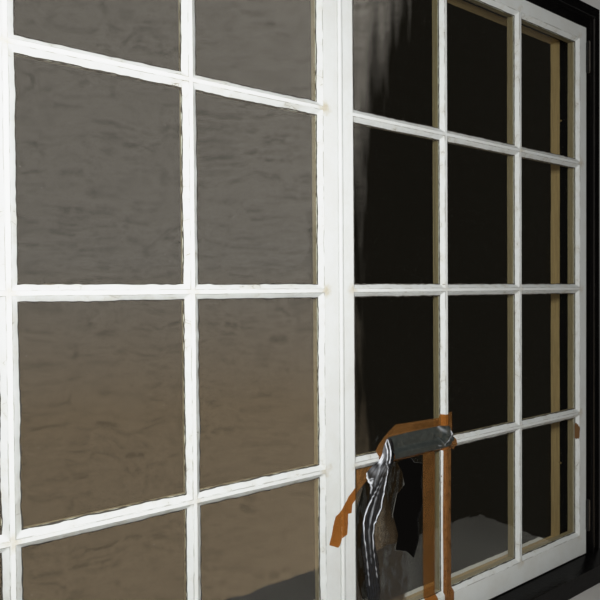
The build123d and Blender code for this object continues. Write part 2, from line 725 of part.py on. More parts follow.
HOLE = [
    (0.46, 0.98), (0.52, 0.91), (0.55, 0.82), (0.46, 0.77), (0.41, 0.64), (0.47, 0.50),
    (0.44, 0.40), (0.58, 0.36), (0.66, 0.30), (0.73, 0.42), (0.72, 0.56), (0.80, 0.66),
    (0.76, 0.80), (0.79, 0.93), (0.68, 0.95), (0.62, 1.00),
]


def broken_pane():
    """The pane with a jagged hole, its points given as shares of the sight size."""
    outline = [(PATCH_X + u * SIGHT_W, PATCH_Z + v * SIGHT_H) for u, v in HOLE]
    plane = Plane(origin=(0, SASH_T, 0), x_dir=(1, 0, 0), z_dir=(0, -1, 0))
    hole = extrude(plane * make_face(Polyline(*outline, outline[0])), amount=SASH_T)
    return make_pane(PATCH_ROW, 0) - hole


def save(name, *shapes):
    """Write one node: every solid of the shapes given."""
    solids = []
    for shape in shapes:
        solids.extend(shape.solids())
    node = solids[0] if len(solids) == 1 else Compound(children=solids)
    node.label = name
    export_step(node, f"parts/{name}.step")


def main():
    sill, head, jamb = build_frame()
    frame_screws = []
    jambs = {"left": mirrored(jamb), "right": jamb}
    leaves = {"left": build_leaf(False), "right": build_leaf(True)}
    leaf_screws = {"left": [], "right": []}
    for place, z0 in Z_HINGES.items():
        frame_plate = hinge_half(z0, True)
        sash_plate = hinge_half(z0, False)
        frame_pairs = hinge_screws(z0, True)
        sash_pairs = hinge_screws(z0, False)
        for _, plain in frame_pairs:
            frame_plate = frame_plate - plain
        for _, plain in sash_pairs:
            sash_plate = sash_plate - plain
        pin = hinge_pin(z0)
        recess = block(X_REBATE, X_REBATE + HINGE_PLATE_T, 0, HINGE_PLATE_D, z0, z0 + HINGE_L)
        sash_recess = block(X_HINGE - HINGE_PLATE_T, X_HINGE, 0, HINGE_PLATE_D, z0, z0 + HINGE_L)
        for side in ("left", "right"):
            turn = mirrored if side == "left" else (lambda shape: shape)
            save(f"{side}_{place}_hinge_frame_plate", turn(frame_plate))
            save(f"{side}_{place}_hinge_sash_plate", turn(sash_plate))
            save(f"{side}_{place}_hinge_pin", turn(pin))
            jambs[side] = jambs[side] - turn(recess)
            for screw, plain in frame_pairs:
                jambs[side] = jambs[side] - turn(plain)
                frame_screws.append(turn(screw))
            stile = leaves[side]["hinge_stile"]
            stile = stile - sash_recess
            for screw, plain in sash_pairs:
                stile = stile - plain
                leaf_screws[side].append(turn(screw))
            leaves[side]["hinge_stile"] = stile

    z_plate_up = Z_HEAD_STOP - BOLT_PLATE_SETBACK - BOLT_PLATE_L
    z_plate_down = Z_SILL_STOP + BOLT_PLATE_SETBACK
    for name, z_plate, up in (("top", z_plate_up, True), ("bottom", z_plate_down, False)):
        plate, rod, hole, pairs = bolt_parts(z_plate, up)
        for screw, plain in pairs:
            plate = plate - plain
            for piece in ("meeting_stile", "top_rail", "bottom_rail"):
                leaves["left"][piece] = leaves["left"][piece] - plain
            leaf_screws["left"].append(mirrored(screw))
        if up:
            head = head - mirrored(hole)
        else:
            sill = sill - mirrored(hole)
        save(f"{name}_bolt_plate", mirrored(plate))
        save(f"{name}_bolt_rod", mirrored(rod))

    plate, handle, strike, plate_screws, strike_screws = fastener_parts()
    for screw, plain in plate_screws:
        plate = plate - plain
        leaves["right"]["meeting_stile"] = leaves["right"]["meeting_stile"] - plain
        leaf_screws["right"].append(screw)
    for screw, plain in strike_screws:
        strike = strike - plain
        leaves["left"]["meeting_stile"] = leaves["left"]["meeting_stile"] - mirrored(plain)
        leaf_screws["left"].append(screw)
    save("fastener_plate", plate)
    save("fastener_handle", handle)
    save("strike_plate", strike)

    save("sill", sill)
    save("head", head)
    save("left_jamb", jambs["left"])
    save("right_jamb", jambs["right"])
    save("frame_screws", *frame_screws)
    for side, leaf in leaves.items():
        turn = mirrored if side == "left" else (lambda shape: shape)
        for piece in ("meeting_stile", "hinge_stile", "top_rail", "bottom_rail"):
            save(f"{side}_{piece}", turn(leaf[piece]))
        for i, bar in enumerate(leaf["uprights"], 1):
            save(f"{side}_upright_bar_{i}", turn(bar))
        for i, bar in enumerate(leaf["rows"], 1):
            save(f"{side}_cross_bar_{i}", turn(bar))
        save(f"{side}_screws", *leaf_screws[side])
        putty = []
        for row in range(PANE_ROWS):
            panes = []
            for col in range(PANE_COLS):
                putty.append(turn(make_putty(row, col)))
                if side == "right" and row == PATCH_ROW and col == 0:
                    continue
                panes.append(turn(make_pane(row, col)))
            save(f"{side}_panes_row_{row + 1}", *panes)
        save(f"{side}_putty", *putty)
    save("broken_pane", broken_pane())

    band, duct, corner, left_end, strips, bag = patch_parts()
    save("brown_tape_band", band, corner)
    save("brown_tape_left_end", left_end)
    save("brown_tape_strips", strips)
    save("duct_tape", duct)
    save("bag", bag)


main()
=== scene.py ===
"""Looks of a small-paned casement window: paint, putty, glass, fittings, taped-up pane."""

import math
from functools import partial

import bpy
import numpy as np
from mathutils import Matrix


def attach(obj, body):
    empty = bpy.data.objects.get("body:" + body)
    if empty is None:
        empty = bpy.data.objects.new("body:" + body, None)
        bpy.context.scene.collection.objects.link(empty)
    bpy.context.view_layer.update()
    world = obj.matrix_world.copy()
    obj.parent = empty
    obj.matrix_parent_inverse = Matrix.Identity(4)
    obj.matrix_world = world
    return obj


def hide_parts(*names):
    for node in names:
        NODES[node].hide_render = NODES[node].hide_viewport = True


bl_info = {
    "name": "Small-paned window dressing",
    "version": (1, 0, 0),
    "blender": (4, 5, 0),
    "location": "3D View > Sidebar > Window",
    "description": "Paint, putty, glass, fittings and the patched pane of a casement window",
    "category": "Object",
}

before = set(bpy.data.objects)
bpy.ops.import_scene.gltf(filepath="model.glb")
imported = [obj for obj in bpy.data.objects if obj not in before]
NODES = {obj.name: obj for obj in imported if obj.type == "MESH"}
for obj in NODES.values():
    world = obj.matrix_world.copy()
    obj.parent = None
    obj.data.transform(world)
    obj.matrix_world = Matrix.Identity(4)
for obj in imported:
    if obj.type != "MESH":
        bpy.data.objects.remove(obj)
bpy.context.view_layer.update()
MM = 0.001

# As in the CAD, in millimetres: X from the meeting joint, Z from the sill's underside
FIRST_SIGHT, FOOT_SIGHT = 41.25, 113.0
SIGHT_WIDTH, SIGHT_HEIGHT, BAR = 225.0, 292.0, 23.0
COLS, ROWS = 3, 4
SIDES = ("left", "right")
GLASS_FACE = 9.0
BAG_TOP, BAG_FOOT = 452, 152
CAMERA_AT = (-633.5, -801.0, 732.3)

# Old paint and film mirror little of the bright cloth in front; only glass mirrors it in full
DULL = 0.12
PAINT_IOR = 1.48


def linear(code):
    """A colour written as sRGB hex, turned to the linear values that shaders take."""
    parts = [int(code.lstrip("#")[i:i + 2], 16) / 255 for i in (0, 2, 4)]
    return tuple(c / 12.92 if c <= 0.04045 else ((c + 0.055) / 1.055) ** 2.4 for c in parts)


# Sizes and colours that a user would change


def number_property(name, description, default, **kind):
    """One number of a group, plain or of the kind that Blender is told."""
    return bpy.props.FloatProperty(
        name=name, description=description, default=default, **kind)


def length_property(name, description, millimetres):
    """One length, which Blender keeps in metres."""
    return number_property(name, description, millimetres * MM, unit="LENGTH")


class WindowSizes(bpy.types.PropertyGroup):
    sight_width: length_property(
        "Sight width", "Glass width that shows between the putty lines", SIGHT_WIDTH)
    sight_height: length_property(
        "Sight height", "Glass height that shows between the putty lines", SIGHT_HEIGHT)
    bar_width: length_property(
        "Bar width", "Glazing bar from one putty line to the next", BAR)
    putty_width: length_property(
        "Putty width", "Face putty from the timber to the glass line", 8.0)
    hand_waver: length_property(
        "Hand waver", "How far the knifed putty line wanders", 0.7)
    film: length_property("Tape thickness", "Thickness of the brown tape", 0.14)
    cloth_tape: length_property("Dark tape thickness", "Thickness of the cloth tape", 0.28)
    bag: length_property("Bag thickness", "Thickness of the polythene", 0.06)


def colour_property(name, description, code):
    """One paint or film colour as a colour swatch."""
    return bpy.props.FloatVectorProperty(
        name=name, description=description, subtype="COLOR", size=3, min=0, max=1,
        default=linear(code))


class WindowColours(bpy.types.PropertyGroup):
    white: colour_property("White paint", "Outside paint of the sashes", "#E6E9E6")
    putty: colour_property("Putty paint", "Paint over the face putty", "#DFE2DF")
    room: colour_property("Room paint", "Paint on the room side of the sashes", "#96886B")
    black: colour_property("Black paint", "Gloss paint of the frame and sill", "#0D0C0C")
    buff: colour_property("Buff paint", "Room side of the frame", "#B39A70")
    glass: colour_property("Glass", "Tint of the old sheet glass", "#F1F3EE")
    tape: colour_property("Brown tape", "Packing tape", "#AA804E")
    duct: colour_property("Dark tape", "Cloth-backed tape", "#303432")
    bag: colour_property("Bag", "Black polythene film", "#0A0A0B")
    brass: colour_property("Brass", "Aged cast brass", "#8E6C38")


class StudioSettings(bpy.types.PropertyGroup):
    lens: number_property("Lens", "Focal length in millimetres on a 36 mm sensor", 34.64)
    turn: number_property(
        "Turn", "Camera turned right from square on", math.radians(34.417), subtype="ANGLE")
    tilt: number_property("Tilt", "Camera tilted up", math.radians(-0.951), subtype="ANGLE")
    roll: number_property(
        "Roll", "Camera rolled about its axis", math.radians(-0.44), subtype="ANGLE")
    key_power: number_property("Key power", "Soft light beside the camera, in watts", 16.4)
    fill_power: number_property("Fill power", "Wide light from the front left, in watts", 1.0)
    room_power: number_property("Room power", "Wide light behind the window, in watts", 34.0)


# Node trees


def add_node(tree, kind, sockets=None, **settings):
    """Add one shader node, give it its settings, and fill or link its sockets.

    A node given to a socket stands for its first live output, and a hex code for a colour.
    """
    node = tree.nodes.new("ShaderNode" + kind)
    for name, value in settings.items():
        setattr(node, name, value)
    for key, value in (sockets or {}).items():
        socket = node.inputs[key]
        if isinstance(value, bpy.types.Node):
            value = next(each for each in value.outputs if each.enabled)
        if isinstance(value, bpy.types.NodeSocket):
            tree.links.new(value, socket)
        elif socket.type == "RGBA":
            colour = linear(value) if isinstance(value, str) else value
            socket.default_value = (*colour[:3], 1.0)
        else:
            socket.default_value = value
    return node


def start_material(name):
    """An empty node material, what adds nodes to it and the place on the object."""
    material = bpy.data.materials.new(name)
    material.use_nodes = True
    material.node_tree.nodes.clear()
    add = partial(add_node, material.node_tree)
    return material, add, add("TexCoord").outputs["Object"]


def close_material(material, shader):
    """Link a shader to the material's output."""
    add_node(material.node_tree, "OutputMaterial", {"Surface": shader})
    return material


def lay_over(add, under, over, value, start, full, most=1.0):
    """One colour over another, from none where a value is start to most where it is full."""
    share = add("MapRange", {
        "Value": value, "From Min": start, "From Max": full, "To Max": most})
    return add("Mix", {0: share, 6: under, 7: over}, data_type="RGBA")


def put_on(material, *names):
    """Give CAD nodes one material in their first slot."""
    for name in names:
        mesh = NODES[name].data
        mesh.materials.clear()
        mesh.materials.append(material)


def oil_paint(name, outside, inside, dirt, stain, along, split, gloss):
    """Oil paint brushed by hand over older coats on softwood.

    The eye reads brush marks a millimetre wide along each member, soft lumps where old
    coats have crept, yellow stains where bars cross, a few chips down to brown undercoat,
    and another colour on the room side from the depth split on.
    """
    material, add, place = start_material(name)
    axes = add("SeparateXYZ", {0: place})
    # Marks about 1.1 mm across and 60 mm long
    across, down = (900.0, 16.0) if along == "Z" else (16.0, 900.0)
    combed = add("Mapping", {"Vector": place, "Scale": (across, 500.0, down)})
    marks = add("TexNoise", {
        "Vector": combed, "Scale": 1.0, "Detail": 3.0, "Roughness": 0.62, "Distortion": 0.3})
    # Lumps about 9 mm across
    lumps = add("TexNoise", {"Vector": place, "Scale": 110.0, "Detail": 2.5})
    # Grime in drifts about 60 mm across
    grime = add("TexNoise", {"Vector": place, "Scale": 15.0, "Detail": 6.0, "Roughness": 0.66})
    dull = lay_over(add, outside, dirt, grime, 0.42, 0.85, 0.5)
    # Distance to the nearest crossing of two bars, from the distance to a bar either way
    sideways = add("Math", {0: axes.outputs[0]}, operation="ABSOLUTE")
    offset = {}
    for axis, at, first, sight in (
            (0, sideways, FIRST_SIGHT, SIGHT_WIDTH),
            (2, axes.outputs[2], FOOT_SIGHT, SIGHT_HEIGHT)):
        shifted = add("Math", {0: at, 1: (BAR / 2 - first) * MM}, operation="ADD")
        offset[axis] = add("Math", {
            0: shifted, 1: (sight + BAR) / 2 * MM}, operation="PINGPONG")
    corner = add("CombineXYZ", offset)
    reach = add("VectorMath", {0: corner}, operation="LENGTH")
    ragged = add("Math", {0: lumps, 1: 0.022, 2: reach}, operation="MULTIPLY_ADD")
    near = add("MapRange", {"Value": ragged, "From Min": 0.026, "From Max": 0.015})
    patchy = add("MapRange", {"Value": grime, "From Min": 0.41, "From Max": 0.6, "To Max": 0.5})
    stain_share = add("Math", {0: near, 1: patchy}, operation="MULTIPLY")
    stained = add("Mix", {0: stain_share, 6: dull, 7: stain}, data_type="RGBA")
    # Chips 1 to 3 mm across, down to brown undercoat
    flakes = add("TexNoise", {"Vector": place, "Scale": 210.0, "Detail": 3.0, "Roughness": 0.7})
    worn = lay_over(add, stained, "#7A6850", flakes, 0.735, 0.755)
    streaky = lay_over(add, inside, [c * 0.7 for c in inside], marks, 0.42, 0.62, 0.8)
    colour = lay_over(add, worn, streaky, axes.outputs[1], split, split + 0.0006)
    height = add("Math", {0: marks, 1: 0.45, 2: lumps}, operation="MULTIPLY_ADD")
    bump = add("Bump", {"Height": height, "Strength": 0.55, "Distance": 0.0007})
    rough = add("MapRange", {
        "Value": grime, "From Min": 0.3, "From Max": 0.75, "To Min": gloss,
        "To Max": gloss + 0.22})
    shader = add("BsdfPrincipled", {
        "Base Color": colour, "Roughness": rough, "IOR": PAINT_IOR, "Specular IOR Level": DULL,
        "Normal": bump})
    return close_material(material, shader)


def painted_putty(name, paint):
    """Linseed putty knifed to a bevel and painted by brush over the edge of the glass.

    The eye reads a brighter, smoother slope than the timber, with hair cracks, a thin dark
    line of dirt and painted shade against the glass, and brown putty where the paint has gone.
    """
    material, add, place = start_material(name)
    edge = add("Attribute", attribute_name="to_glass")
    bare = add("Attribute", attribute_name="bare")
    # Brush dabs about 5 mm across
    dabs = add("TexNoise", {"Vector": place, "Scale": 200.0, "Detail": 3.0})
    grime = add("TexNoise", {"Vector": place, "Scale": 26.0, "Detail": 5.0, "Roughness": 0.65})
    coat = lay_over(add, paint, "#C4BFAE", grime, 0.48, 0.75, 0.6)
    # Dirt and painted shade lie as a dark line in the last millimetre before the glass
    wander = add("Math", {0: dabs, 1: 0.07, 2: edge.outputs["Fac"]}, operation="MULTIPLY_ADD")
    dirt_and_painted_shade = lay_over(add, coat, "#3A332A", wander, 0.88, 0.93, 0.95)
    # A grey line about a millimetre wide where the putty meets the timber
    parted = lay_over(add, dirt_and_painted_shade, "#6C645B", wander, 0.2, 0.13, 0.5)
    # Hair cracks every 15 mm or so, drawn 0.4 mm wide so that they show
    crackle = add("TexVoronoi", {"Vector": place, "Scale": 62.0}, feature="DISTANCE_TO_EDGE")
    crack = add("MapRange", {"Value": crackle, "From Min": 0.022, "From Max": 0.006})
    where = add("MapRange", {"Value": grime, "From Min": 0.56, "From Max": 0.62, "To Max": 0.7})
    cracked = add("Math", {0: crack, 1: where}, operation="MULTIPLY")
    lined = add("Mix", {0: cracked, 6: parted, 7: "#6E6453"}, data_type="RGBA")
    ragged = add("Math", {0: dabs, 1: 0.9, 2: bare.outputs["Fac"]}, operation="MULTIPLY_ADD")
    colour = lay_over(add, lined, "#6B4F33", ragged, 0.93, 1.0)
    height = add("Math", {0: cracked, 1: -1.0, 2: dabs}, operation="MULTIPLY_ADD")
    bump = add("Bump", {"Height": height, "Strength": 0.6, "Distance": 0.0006})
    shader = add("BsdfPrincipled", {
        "Base Color": colour, "Roughness": 0.46, "IOR": PAINT_IOR, "Specular IOR Level": DULL,
        "Normal": bump})
    return close_material(material, shader)


def sheet_glass(name, tint, film):
    """Old drawn sheet glass: long waves that bend what shows through, and a few paint specks.

    film is the most that a brown, cloudy film of dirt hides, 0 on a clean pane.
    """
    material, add, place = start_material(name)
    # Draw waves about 60 mm apart and a few hundred long
    drawn = add("Mapping", {"Vector": place, "Scale": (16.0, 16.0, 4.0)})
    wave = add("TexNoise", {"Vector": drawn, "Scale": 1.0, "Detail": 1.5})
    bump = add("Bump", {"Height": wave, "Strength": 0.5, "Distance": 0.0016})
    # Specks of paint and dirt about 1 mm across
    fleck = add("TexNoise", {"Vector": place, "Scale": 520.0, "Detail": 1.0})
    spots = add("MapRange", {"Value": fleck, "From Min": 0.80, "From Max": 0.83})
    hidden, coat = spots, "#B8B4A8"
    if film:
        # Clouds of dirt 13 by 45 mm, wiped into streaks
        wiped = add("Mapping", {
            "Vector": place, "Rotation": (0.0, 0.5, 0.0), "Scale": (75.0, 40.0, 22.0)})
        cloud = add("TexNoise", {
            "Vector": wiped, "Scale": 1.0, "Detail": 5.0, "Roughness": 0.62})
        murk = add("MapRange", {
            "Value": cloud, "From Min": 0.38, "From Max": 0.68, "To Max": film})
        # Only left of the hole: full 160 mm from the joint, gone at 185 mm
        axes = add("SeparateXYZ", {0: place})
        left = add("MapRange", {"Value": axes.outputs[0], "From Min": 0.185, "From Max": 0.16})
        dirt = add("Math", {0: murk, 1: left}, operation="MULTIPLY")
        hidden = add("Math", {0: hidden, 1: dirt}, operation="MAXIMUM")
        coat = "#5E4F3A"
    clear = add("Math", {0: 1.0, 1: hidden}, operation="SUBTRACT")
    tone = lay_over(add, tint, coat, hidden, 0.0, 0.08)
    pane = add("BsdfPrincipled", {
        "Base Color": tone, "Roughness": 0.02, "IOR": 1.52, "Transmission Weight": clear,
        "Normal": bump})
    let_by = add("BsdfTransparent", {"Color": tint})
    rays = add("LightPath")
    mixed = add("MixShader", {0: rays.outputs["Is Shadow Ray"], 1: pane, 2: let_by})
    return close_material(material, mixed)


def worn_metal(name, colour, worn, metallic, rough, scale):
    """Cast or pressed metal under old paint, lacquer or tarnish.

    The eye reads cloudy tarnish a few millimetres across over a fine cast skin, with
    a second colour where the finish has thinned. Black paint hides the metal altogether.
    """
    material, add, place = start_material(name)
    cloud = add("TexNoise", {"Vector": place, "Scale": scale, "Detail": 5.0, "Roughness": 0.62})
    skin = add("TexNoise", {"Vector": place, "Scale": scale * 9, "Detail": 2.0})
    tone = lay_over(add, colour, worn, cloud, 0.45, 0.68)
    gloss = add("MapRange", {
        "Value": cloud, "From Min": 0.3, "From Max": 0.7, "To Min": rough,
        "To Max": rough + 0.25})
    bump = add("Bump", {"Height": skin, "Strength": 0.35, "Distance": 0.0003})
    shader = add("BsdfPrincipled", {
        "Base Color": tone, "Metallic": metallic, "Roughness": gloss, "Normal": bump})
    return close_material(material, shader)


def packing_tape(name, colour):
    """Brown polypropylene packing tape: glossy, see-through film with a darker glue.

    The eye reads streaks of glue along the tape, darker where two layers lap, and
    small bright creases.
    """
    material, add, place = start_material(name)
    run = add("UVMap", uv_map="run")
    layers = add("Attribute", attribute_name="layers")
    # Glue streaks about 2 mm wide along the roll
    combed = add("Mapping", {"Vector": run, "Scale": (25.0, 480.0, 1.0)})
    streak = add("TexNoise", {"Vector": combed, "Scale": 1.0, "Detail": 2.0})
    cloud = add("TexNoise", {"Vector": place, "Scale": 70.0, "Detail": 4.0})
    share = add("Math", {0: streak, 1: cloud}, operation="MULTIPLY")
    tone = lay_over(add, colour, [c * 0.55 for c in colour], share, 0.15, 0.38, 0.75)
    bump = add("Bump", {"Height": cloud, "Strength": 0.5, "Distance": 0.0007})
    film = add("BsdfPrincipled", {
        "Base Color": tone, "Roughness": 0.3, "IOR": 1.5, "Specular IOR Level": DULL,
        "Normal": bump})
    # Light meets the dye on both faces of the film, so one layer lets through three
    # quarters of red and an eighth of blue, and two layers the square of that
    stack = add("Math", {0: layers.outputs["Fac"], 1: -1.0}, operation="ADD")
    once = linear("#F0D2A2")
    dye = add("Mix", {0: stack, 6: once, 7: [c * c for c in once]}, data_type="RGBA")
    see = add("BsdfTransparent", {"Color": dye})
    solid = add("MapRange", {
        "Value": layers.outputs["Fac"], "From Min": 1.0, "From Max": 2.0, "To Min": 0.24,
        "To Max": 0.5})
    mixed = add("MixShader", {0: solid, 1: see, 2: film})
    return close_material(material, mixed)


def cloth_tape(name, colour):
    """Dark cloth-backed tape: polythene film over a scrim of threads, with painted highlights
    on its sharp folds.
    """
    material, add, place = start_material(name)
    run = add("UVMap", uv_map="run")
    # 2.6 mm between threads both ways, twice the real spacing, so that they show
    warp, weft = (add("TexWave", {
        "Vector": run, "Scale": 122.0, "Distortion": 0.4}, wave_type="BANDS",
        bands_direction=way).outputs["Fac"] for way in "XY")
    scrim = add("Math", {0: warp, 1: weft}, operation="ADD")
    scuff = add("TexNoise", {"Vector": place, "Scale": 90.0, "Detail": 5.0, "Roughness": 0.7})
    worn = lay_over(add, colour, "#4A4F4B", scuff, 0.45, 0.75, 0.6)
    # Painted highlights: the colour turns near white along the sharp folds
    painted_highlight = add("Attribute", attribute_name="painted_highlight")
    tone = add("Mix", {0: painted_highlight.outputs["Fac"], 6: worn, 7: "#EEF3FA"}, data_type="RGBA")
    height = add("Math", {0: scrim, 1: 0.12, 2: scuff}, operation="MULTIPLY_ADD")
    bump = add("Bump", {"Height": height, "Strength": 0.5, "Distance": 0.0006})
    shader = add("BsdfPrincipled", {
        "Base Color": tone, "Roughness": 0.36, "IOR": 1.5, "Specular IOR Level": 2 * DULL,
        "Normal": bump})
    return close_material(material, shader)


def polythene(name, colour):
    """Blown black polythene film: a glossy skin with fine stretch crinkles and painted
    highlights along its folds.
    """
    material, add, place = start_material(name)
    run = add("UVMap", uv_map="run")
    # Crinkles about 4 mm apart, pulled out down the bag
    pulled = add("Mapping", {"Vector": run, "Scale": (260.0, 40.0, 1.0)})
    crinkle = add("TexNoise", {"Vector": pulled, "Scale": 1.0, "Detail": 4.0, "Roughness": 0.6})
    dust = add("TexNoise", {"Vector": place, "Scale": 160.0, "Detail": 4.0})
    dusty = lay_over(add, colour, "#171C24", dust, 0.4, 0.7, 0.6)
    # Painted highlights: the colour turns near white along the folds, broken up by the crinkles
    painted_highlight = add("Attribute", attribute_name="painted_highlight")
    broken = add("MapRange", {
        "Value": crinkle, "From Min": 0.3, "From Max": 0.6, "To Min": 0.8, "To Max": 1.15})
    painted_fold_highlight = add("Math", {
        0: painted_highlight.outputs["Fac"], 1: broken}, operation="MULTIPLY", use_clamp=True)
    tone = add("Mix", {0: painted_fold_highlight, 6: dusty, 7: "#F4F8FF"}, data_type="RGBA")
    bump = add("Bump", {"Height": crinkle, "Strength": 0.5, "Distance": 0.001})
    shader = add("BsdfPrincipled", {
        "Base Color": tone, "Roughness": 0.26, "IOR": 1.51, "Specular IOR Level": 2 * DULL,
        "Normal": bump})
    return close_material(material, shader)


# Meshes worked out with numpy


def build(name, points, loops=(False, False), values=None, run=None):
    """A mesh from patches of grid points in millimetres, as an array (patch, n, m, 3).

    Four neighbours on a grid make a face. loops says which of the two directions closes
    on itself. values are numbers for each point, and run the two lengths of a UV map.
    """
    points = np.asarray(points, float)
    if points.ndim == 3:
        points = points[None]
    patches, n, m, _ = points.shape
    i = np.arange(n if loops[0] else n - 1)
    j = np.arange(m if loops[1] else m - 1)
    i, j = np.meshgrid(i, j, indexing="ij")
    k, l = (i + 1) % n, (j + 1) % m
    faces = np.stack([i * m + j, k * m + j, k * m + l, i * m + l], -1).reshape(-1, 4)
    faces = (faces[None] + (np.arange(patches) * n * m)[:, None, None]).reshape(-1, 4)
    places = points.reshape(-1, 3) * MM
    if loops[0] and loops[1]:
        a, b, c, d = (places[faces[:, q]] for q in range(4))
        volume = (a * np.cross(b, c)).sum() + (a * np.cross(c, d)).sum()
        if volume < 0:
            faces = faces[:, ::-1]
    mesh = bpy.data.meshes.new(name)
    mesh.vertices.add(len(places))
    mesh.vertices.foreach_set("co", places.astype(np.float32).ravel())
    mesh.loops.add(faces.size)
    mesh.loops.foreach_set("vertex_index", faces.astype(np.int32).ravel())
    mesh.polygons.add(len(faces))
    mesh.polygons.foreach_set("loop_start", np.arange(0, faces.size, 4, dtype=np.int32))
    mesh.polygons.foreach_set("use_smooth", np.ones(len(faces), bool))
    mesh.update(calc_edges=True)
    for key, each in (values or {}).items():
        layer = mesh.attributes.new(key, "FLOAT", "POINT")
        layer.data.foreach_set("value", np.asarray(each, np.float32).ravel())
    if run is not None:
        layer = mesh.uv_layers.new(name="run")
        flat = (np.asarray(run, float).reshape(-1, 2) * MM)[faces.ravel()]
        layer.data.foreach_set("uv", flat.astype(np.float32).ravel())
    piece = bpy.data.objects.new(name, mesh)
    bpy.context.scene.collection.objects.link(piece)
    return piece


def finish_piece(piece, material, body, stands_for):
    """Paint a new piece, hang it on its body and let it stand for its CAD nodes."""
    piece.data.materials.append(material)
    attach(piece, body)
    if stands_for:
        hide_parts(*stands_for)
    return piece


def thicken(piece, thickness):
    """Give a film its thickness, half to each side."""
    skin = piece.modifiers.new("thickness", "SOLIDIFY")
    skin.thickness = thickness
    skin.offset = 0.0


def waver(t, seed, low, high, power=0.75):
    """A closed wandering line: cosines of whole turns low to high with random phases.

    t runs from 0 to 1 round the loop. The sum is scaled to a spread of 1.
    """
    rng = np.random.default_rng(seed)
    turns = np.arange(low, high + 1)
    weight = turns ** -power * rng.uniform(0.5, 1.0, turns.size)
    phase = rng.uniform(0, 2 * np.pi, turns.size)
    total = (weight[:, None] * np.cos(2 * np.pi * turns[:, None] * t + phase[:, None])).sum(0)
    return total / np.sqrt((weight ** 2).sum() / 2)


def bevel_rings(corners, width, height, putty, sway, seed):
    """Face putty round several panes, with its distance to the glass for every point.

    A point goes round the sight rectangle grown by an offset, so that corners mitre. The
    section runs from the timber to the glass line, on as a lip of paint, and back behind.
    The offset of both edges wanders with the place along the putty.
    """
    per_side = np.array([64, 84, 64, 84])
    side = np.repeat(np.arange(4), per_side)
    share = np.concatenate([np.arange(k) / k for k in per_side])
    t = np.arange(side.size) / side.size
    # Section: share of the bevel, then the lip, then the two hidden corners
    slope = np.array([0.0, 0.06, 0.16, 0.3, 0.44, 0.58, 0.72, 0.86, 0.96, 1.0])
    from_timber, depth, to_glass, inner, outer, lip = (
        np.concatenate(each) for each in (
            (slope * (putty + 0.9) - putty - 0.9, [1.0, 1.0, -putty]),
            (-0.16 + slope * 8.72, [8.8, 8.97, 8.97]),
            (slope * 0.93, [0.99, 1.0, 0.0]),
            (slope, [1.0, 1.0, 0.0]),
            (1 - slope, [0.0, 0.0, 0.0]),
            (slope * 0.0, [1.0, 1.0, 0.0])))
    depth[1:9] -= 0.32 * np.sin(np.pi * slope[1:9])
    patches = []
    shares = []
    for count, (x, z) in enumerate(corners):
        key = seed * 100 + count * 3
        line = sway * 0.62 * waver(t, key, 4, 70)
        line = line + sway * 0.5 * np.clip(waver(t, key + 40, 6, 30) - 1.1, 0, 1.6)
        rim = sway * 0.42 * waver(t, key + 1, 5, 60)
        brush = 0.45 * np.clip(waver(t, key + 2, 12, 90, 0.4), -1.4, 2.0)
        lumps = 0.16 * waver(t, key + 43, 25, 100, 0.3)
        offset = (from_timber[None] + line[:, None] * inner[None]
                  + rim[:, None] * outer[None] + brush[:, None] * lip[None])
        y = depth[None] + lumps[:, None] * np.sin(np.pi * np.clip(inner, 0, 1))[None]
        grown = -offset
        x0, x1 = x - grown, x + width + grown
        z0, z1 = z - grown, z + height + grown
        f = share[:, None]
        px = np.choose(side[:, None], [x0 + (x1 - x0) * f, x1, x1 - (x1 - x0) * f, x0])
        pz = np.choose(side[:, None], [z0, z0 + (z1 - z0) * f, z1, z1 - (z1 - z0) * f])
        patches.append(np.stack([px, y, pz], -1))
        # Along the foot of a pane the dirt lies wider
        foot = 0.05 * (side == 0) * np.clip(waver(t, key + 44, 5, 60) + 0.4, 0, 1.6)
        shares.append(to_glass[None] + foot[:, None] * inner[None])
    return np.array(patches), np.array(shares)


def inside(place, first, sight):
    """Distance inside the nearer of a sash's first two panes, along one axis."""
    second = first + sight + BAR
    return np.maximum(np.minimum(place - first, first + sight - place),
                      np.minimum(place - second, second + sight - place))


def film_ground(x, z):
    """Depth that a pulled tape takes over the right sash.

    It is 0 on timber and GLASS_FACE on glass, with a soft slope 11 mm wide over each line of
    putty, found from the distance inside the nearest pane. At the meeting joint it rises
    2 mm over the nosing and falls again on the left sash.
    """
    deep = np.minimum(inside(x, FIRST_SIGHT, SIGHT_WIDTH), inside(z, FOOT_SIGHT, SIGHT_HEIGHT))
    s = np.clip((deep + 8.0) / 11.0, 0, 1)
    depth = GLASS_FACE * s * s * (3 - 2 * s)
    rise = np.clip((x + 14.0) / 13.0, 0, 1) * np.clip((17.0 - x) / 6.0, 0, 1)
    return depth - 2.1 * rise * rise * (3 - 2 * rise)


def along_edge(points, n):
    """n points along a line of corners, at even shares of its length."""
    points = np.asarray(points, float)
    step = np.linalg.norm(np.diff(points, axis=0), axis=1)
    far = np.concatenate([[0], np.cumsum(step)]) / step.sum()
    t = np.linspace(0, 1, n)
    return np.stack([np.interp(t, far, points[:, 0]), np.interp(t, far, points[:, 1])], -1)


def ruled(upper, lower, n, m):
    """Plane points between two edges: a straight mix of the edge points at the same share."""
    a, b = along_edge(upper, n), along_edge(lower, n)
    v = np.linspace(0, 1, m)[None, :, None]
    flat = b[:, None] * (1 - v) + a[:, None] * v
    run = np.stack(np.broadcast_arrays(
        np.linspace(0, np.linalg.norm(np.diff(a, axis=0), axis=1).sum(), n)[:, None],
        (v[..., 0] * np.linalg.norm(a - b, axis=1).mean())), -1)
    return flat, run


